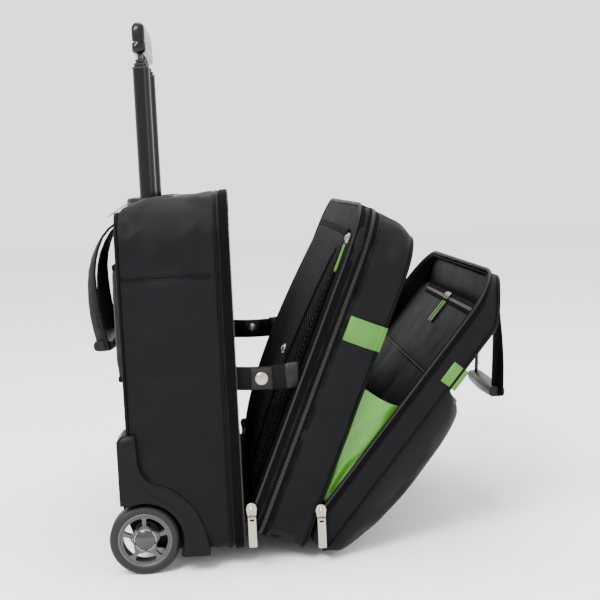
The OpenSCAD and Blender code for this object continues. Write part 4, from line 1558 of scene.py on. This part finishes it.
def side_slider(x, z, y, side, width=11.0, height=17.0):
    """A slider on a side panel, with its bridge."""
    body = prism(shield(x, z, width, height), *sorted((side * y, side * (y + 3.4))))
    bridge_path = [(x, side * (y + 3.0 + 3.0 * math.sin(math.pi * k / 10)), z + height * (0.34 - 0.068 * k))
                   for k in range(11)]
    bridge = sweep(bridge_path, [(1.6 * a, 0.9 * b) for a, b in disc(1.0, 8)], side=(1, 0, 0))
    return merge(body, bridge)


def face_slider(x, y, z, width, height, out=-1, rise=2.6):
    """A small slider on a panel that faces along X."""
    body = [(x + out * t, y + a, z + b) for t in (0, rise) for a, b in shield(0, 0, width, height)]
    faces = grid_faces(2, 10, wrap=True) + [tuple(range(10)), tuple(range(10, 20))[::-1]]
    bridge_path = [(x + out * (rise + 1.6 * math.sin(math.pi * k / 8)), y, z + height * (0.3 - 0.075 * k))
                   for k in range(9)]
    return merge((body, faces), sweep(bridge_path, disc(0.8, 8), side=(0, 1, 0)))


def soften(obj, width):
    """Rounds an object's sharp edges."""
    edge = obj.modifiers.new("edge", "BEVEL")
    edge.width = width * MM
    edge.segments = 2
    edge.limit_method = "ANGLE"
    edge.angle_limit = math.radians(35)
    return obj


print("a slider outline has", len(shield(0, 0, 11, 17)), "points")

# %% Place the sliders
hinge_sliders = [side_slider(109, 61, CASE_HALF + 1.2, side) for side in (-1, 1)]
garage_slider = sweep([(-14.6, 0, 369), (-13.2, 0, 374), (-9, 0, 377.5), (-4, 0, 378.2), (1, 0, 378.0)],
                      slat(9, 3.0), side=(0, 1, 0))
soften(piece("rear_sliders", merge(*hinge_sliders, garage_slider), CASE, NICKEL, "rear_case",
             sharp=40), 0.5)
front_sliders = [side_slider(179.5, 55, FRONT_HALF + 5.0, side) for side in (-1, 1)]
soften(piece("front_sliders", merge(*front_sliders), CASE, NICKEL, "front", sharp=40), 0.5)
tray_sliders = [face_slider(17.2, side * 6, ZIP_UP + 2.2, 6, 9.5, rise=2.0) for side in (-1, 1)]
soften(piece("organiser_sliders", merge(*tray_sliders), FRONT, NICKEL, "front", sharp=40), 0.3)
soften(piece("middle_sliders", merge(face_slider(-0.2, -MIDDLE_HALF + 16.5, 313.5, 7, 11),
                                     face_slider(-NET_BULGE - 1.0, -146.5, 181, 6.5, 10, rise=2.0)),
             MIDDLE, NICKEL, "middle", replaces=["middle_fittings"], sharp=40), 0.3)
print("side sliders:", len(hinge_sliders) + len(front_sliders))

# %% Pulls
def leather_tongue(x, y, z, length, top, foot, thick, lean=0.0):
    """A tapered leather pull, hanging from (x, y, z)."""
    outline_points = [(-top, 0), (-top * 1.1, -0.25), (-foot, -0.93), (-foot * 0.6, -1.0),
                      (foot * 0.6, -1.0), (foot, -0.93), (top * 1.1, -0.25), (top, 0)]
    points = [(x + t + lean * b, y + a, z + length * b) for t in (0, thick) for a, b in outline_points]
    return points, grid_faces(2, 8, wrap=True) + [tuple(range(8)), tuple(range(8, 16))[::-1]]


soften(piece("middle_leather_pull", leather_tongue(-3.4, -MIDDLE_HALF + 16.5, 307, 30, 2.6, 4.2, 2.0),
             MIDDLE, GREEN_LEATHER, "middle_pull", replaces=["middle_pull"],
             sharp=40), 0.5)
for side, label in ((-1, "right"), (1, "left")):
    name = "organiser_pull_" + label
    soften(piece("organiser_leather_" + label, leather_tongue(15.9, side * 6, 248.6, 30, 2.2, 3.8, 1.6),
                 FRONT, GREEN_LEATHER, name, replaces=[name], sharp=40), 0.5)
dress(NICKEL, "garage_pull", 0.5)

# %% [markdown]
# ## Floor, light and camera
#
# Black cloth needs broad, soft light from above and in front, or it turns into a flat cut-out.
# The camera faces the right side, looks slightly down and is rolled a few degrees.

# %% Floor
floor_mesh = bpy.data.meshes.new("floor")
reach = 6.0
floor_mesh.from_pydata([(-reach, -reach, 0), (reach, -reach, 0), (reach, reach, 0), (-reach, reach, 0)],
                       [], [(0, 1, 2, 3)])
floor = bpy.data.objects.new("floor", floor_mesh)
bpy.context.scene.collection.objects.link(floor)
paper = bpy.data.materials.new("paper")
paper.use_nodes = True
paper.node_tree.nodes["Principled BSDF"].inputs["Base Color"].default_value = (0.92, 0.92, 0.92, 1)
paper.node_tree.nodes["Principled BSDF"].inputs["Roughness"].default_value = 0.9
floor_mesh.materials.append(paper)
print("floor reaches", reach, "m each way")

# %% Lights
world = bpy.data.worlds.new("studio")
world.use_nodes = True
world.node_tree.nodes["Background"].inputs["Color"].default_value = (1, 1, 1, 1)
world.node_tree.nodes["Background"].inputs["Strength"].default_value = 2.0
bpy.context.scene.world = world


def lamp(name, place, target, size, power):
    """A square soft box that faces a target."""
    light = bpy.data.lights.new(name, "AREA")
    light.size = size
    light.energy = power
    obj = bpy.data.objects.new(name, light)
    obj.location = place
    obj.rotation_euler = (Vector(target) - Vector(place)).to_track_quat("-Z", "Y").to_euler()
    bpy.context.scene.collection.objects.link(obj)


lamp("key", (-0.9, -1.7, 1.9), (0, 0, 0.25), 1.0, 110)
lamp("fill", (1.8, -1.4, 1.0), (0, 0, 0.2), 1.4, 16)
lamp("top", (0.1, 0.3, 2.3), (0, 0, 0.3), 1.2, 34)
print("lights:", len(bpy.data.lights))

# %% Camera
YAW, PITCH, ROLL = 3.46, -6.06, -2.6
DISTANCE, LENS = 1.15, 69.1
aim = CASE @ (Vector((168.0, -CASE_HALF, 273.0)) * MM)
forward = Vector((math.sin(math.radians(YAW)) * math.cos(math.radians(PITCH)),
                  math.cos(math.radians(YAW)) * math.cos(math.radians(PITCH)),
                  math.sin(math.radians(PITCH))))
level_right = forward.cross(Vector((0, 0, 1))).normalized()
level_up = level_right.cross(forward)
roll = math.radians(ROLL)
right = math.cos(roll) * level_right + math.sin(roll) * level_up
up = right.cross(forward)
camera_data = bpy.data.cameras.new("camera")
camera_data.lens = LENS
camera = bpy.data.objects.new("camera", camera_data)
bpy.context.scene.collection.objects.link(camera)
camera.matrix_world = Matrix.Translation(aim - DISTANCE * forward) @ Matrix(
    (right, up, -forward)).transposed().to_4x4()
bpy.context.scene.camera = camera
print("camera at", [round(v, 2) for v in camera.matrix_world.translation])
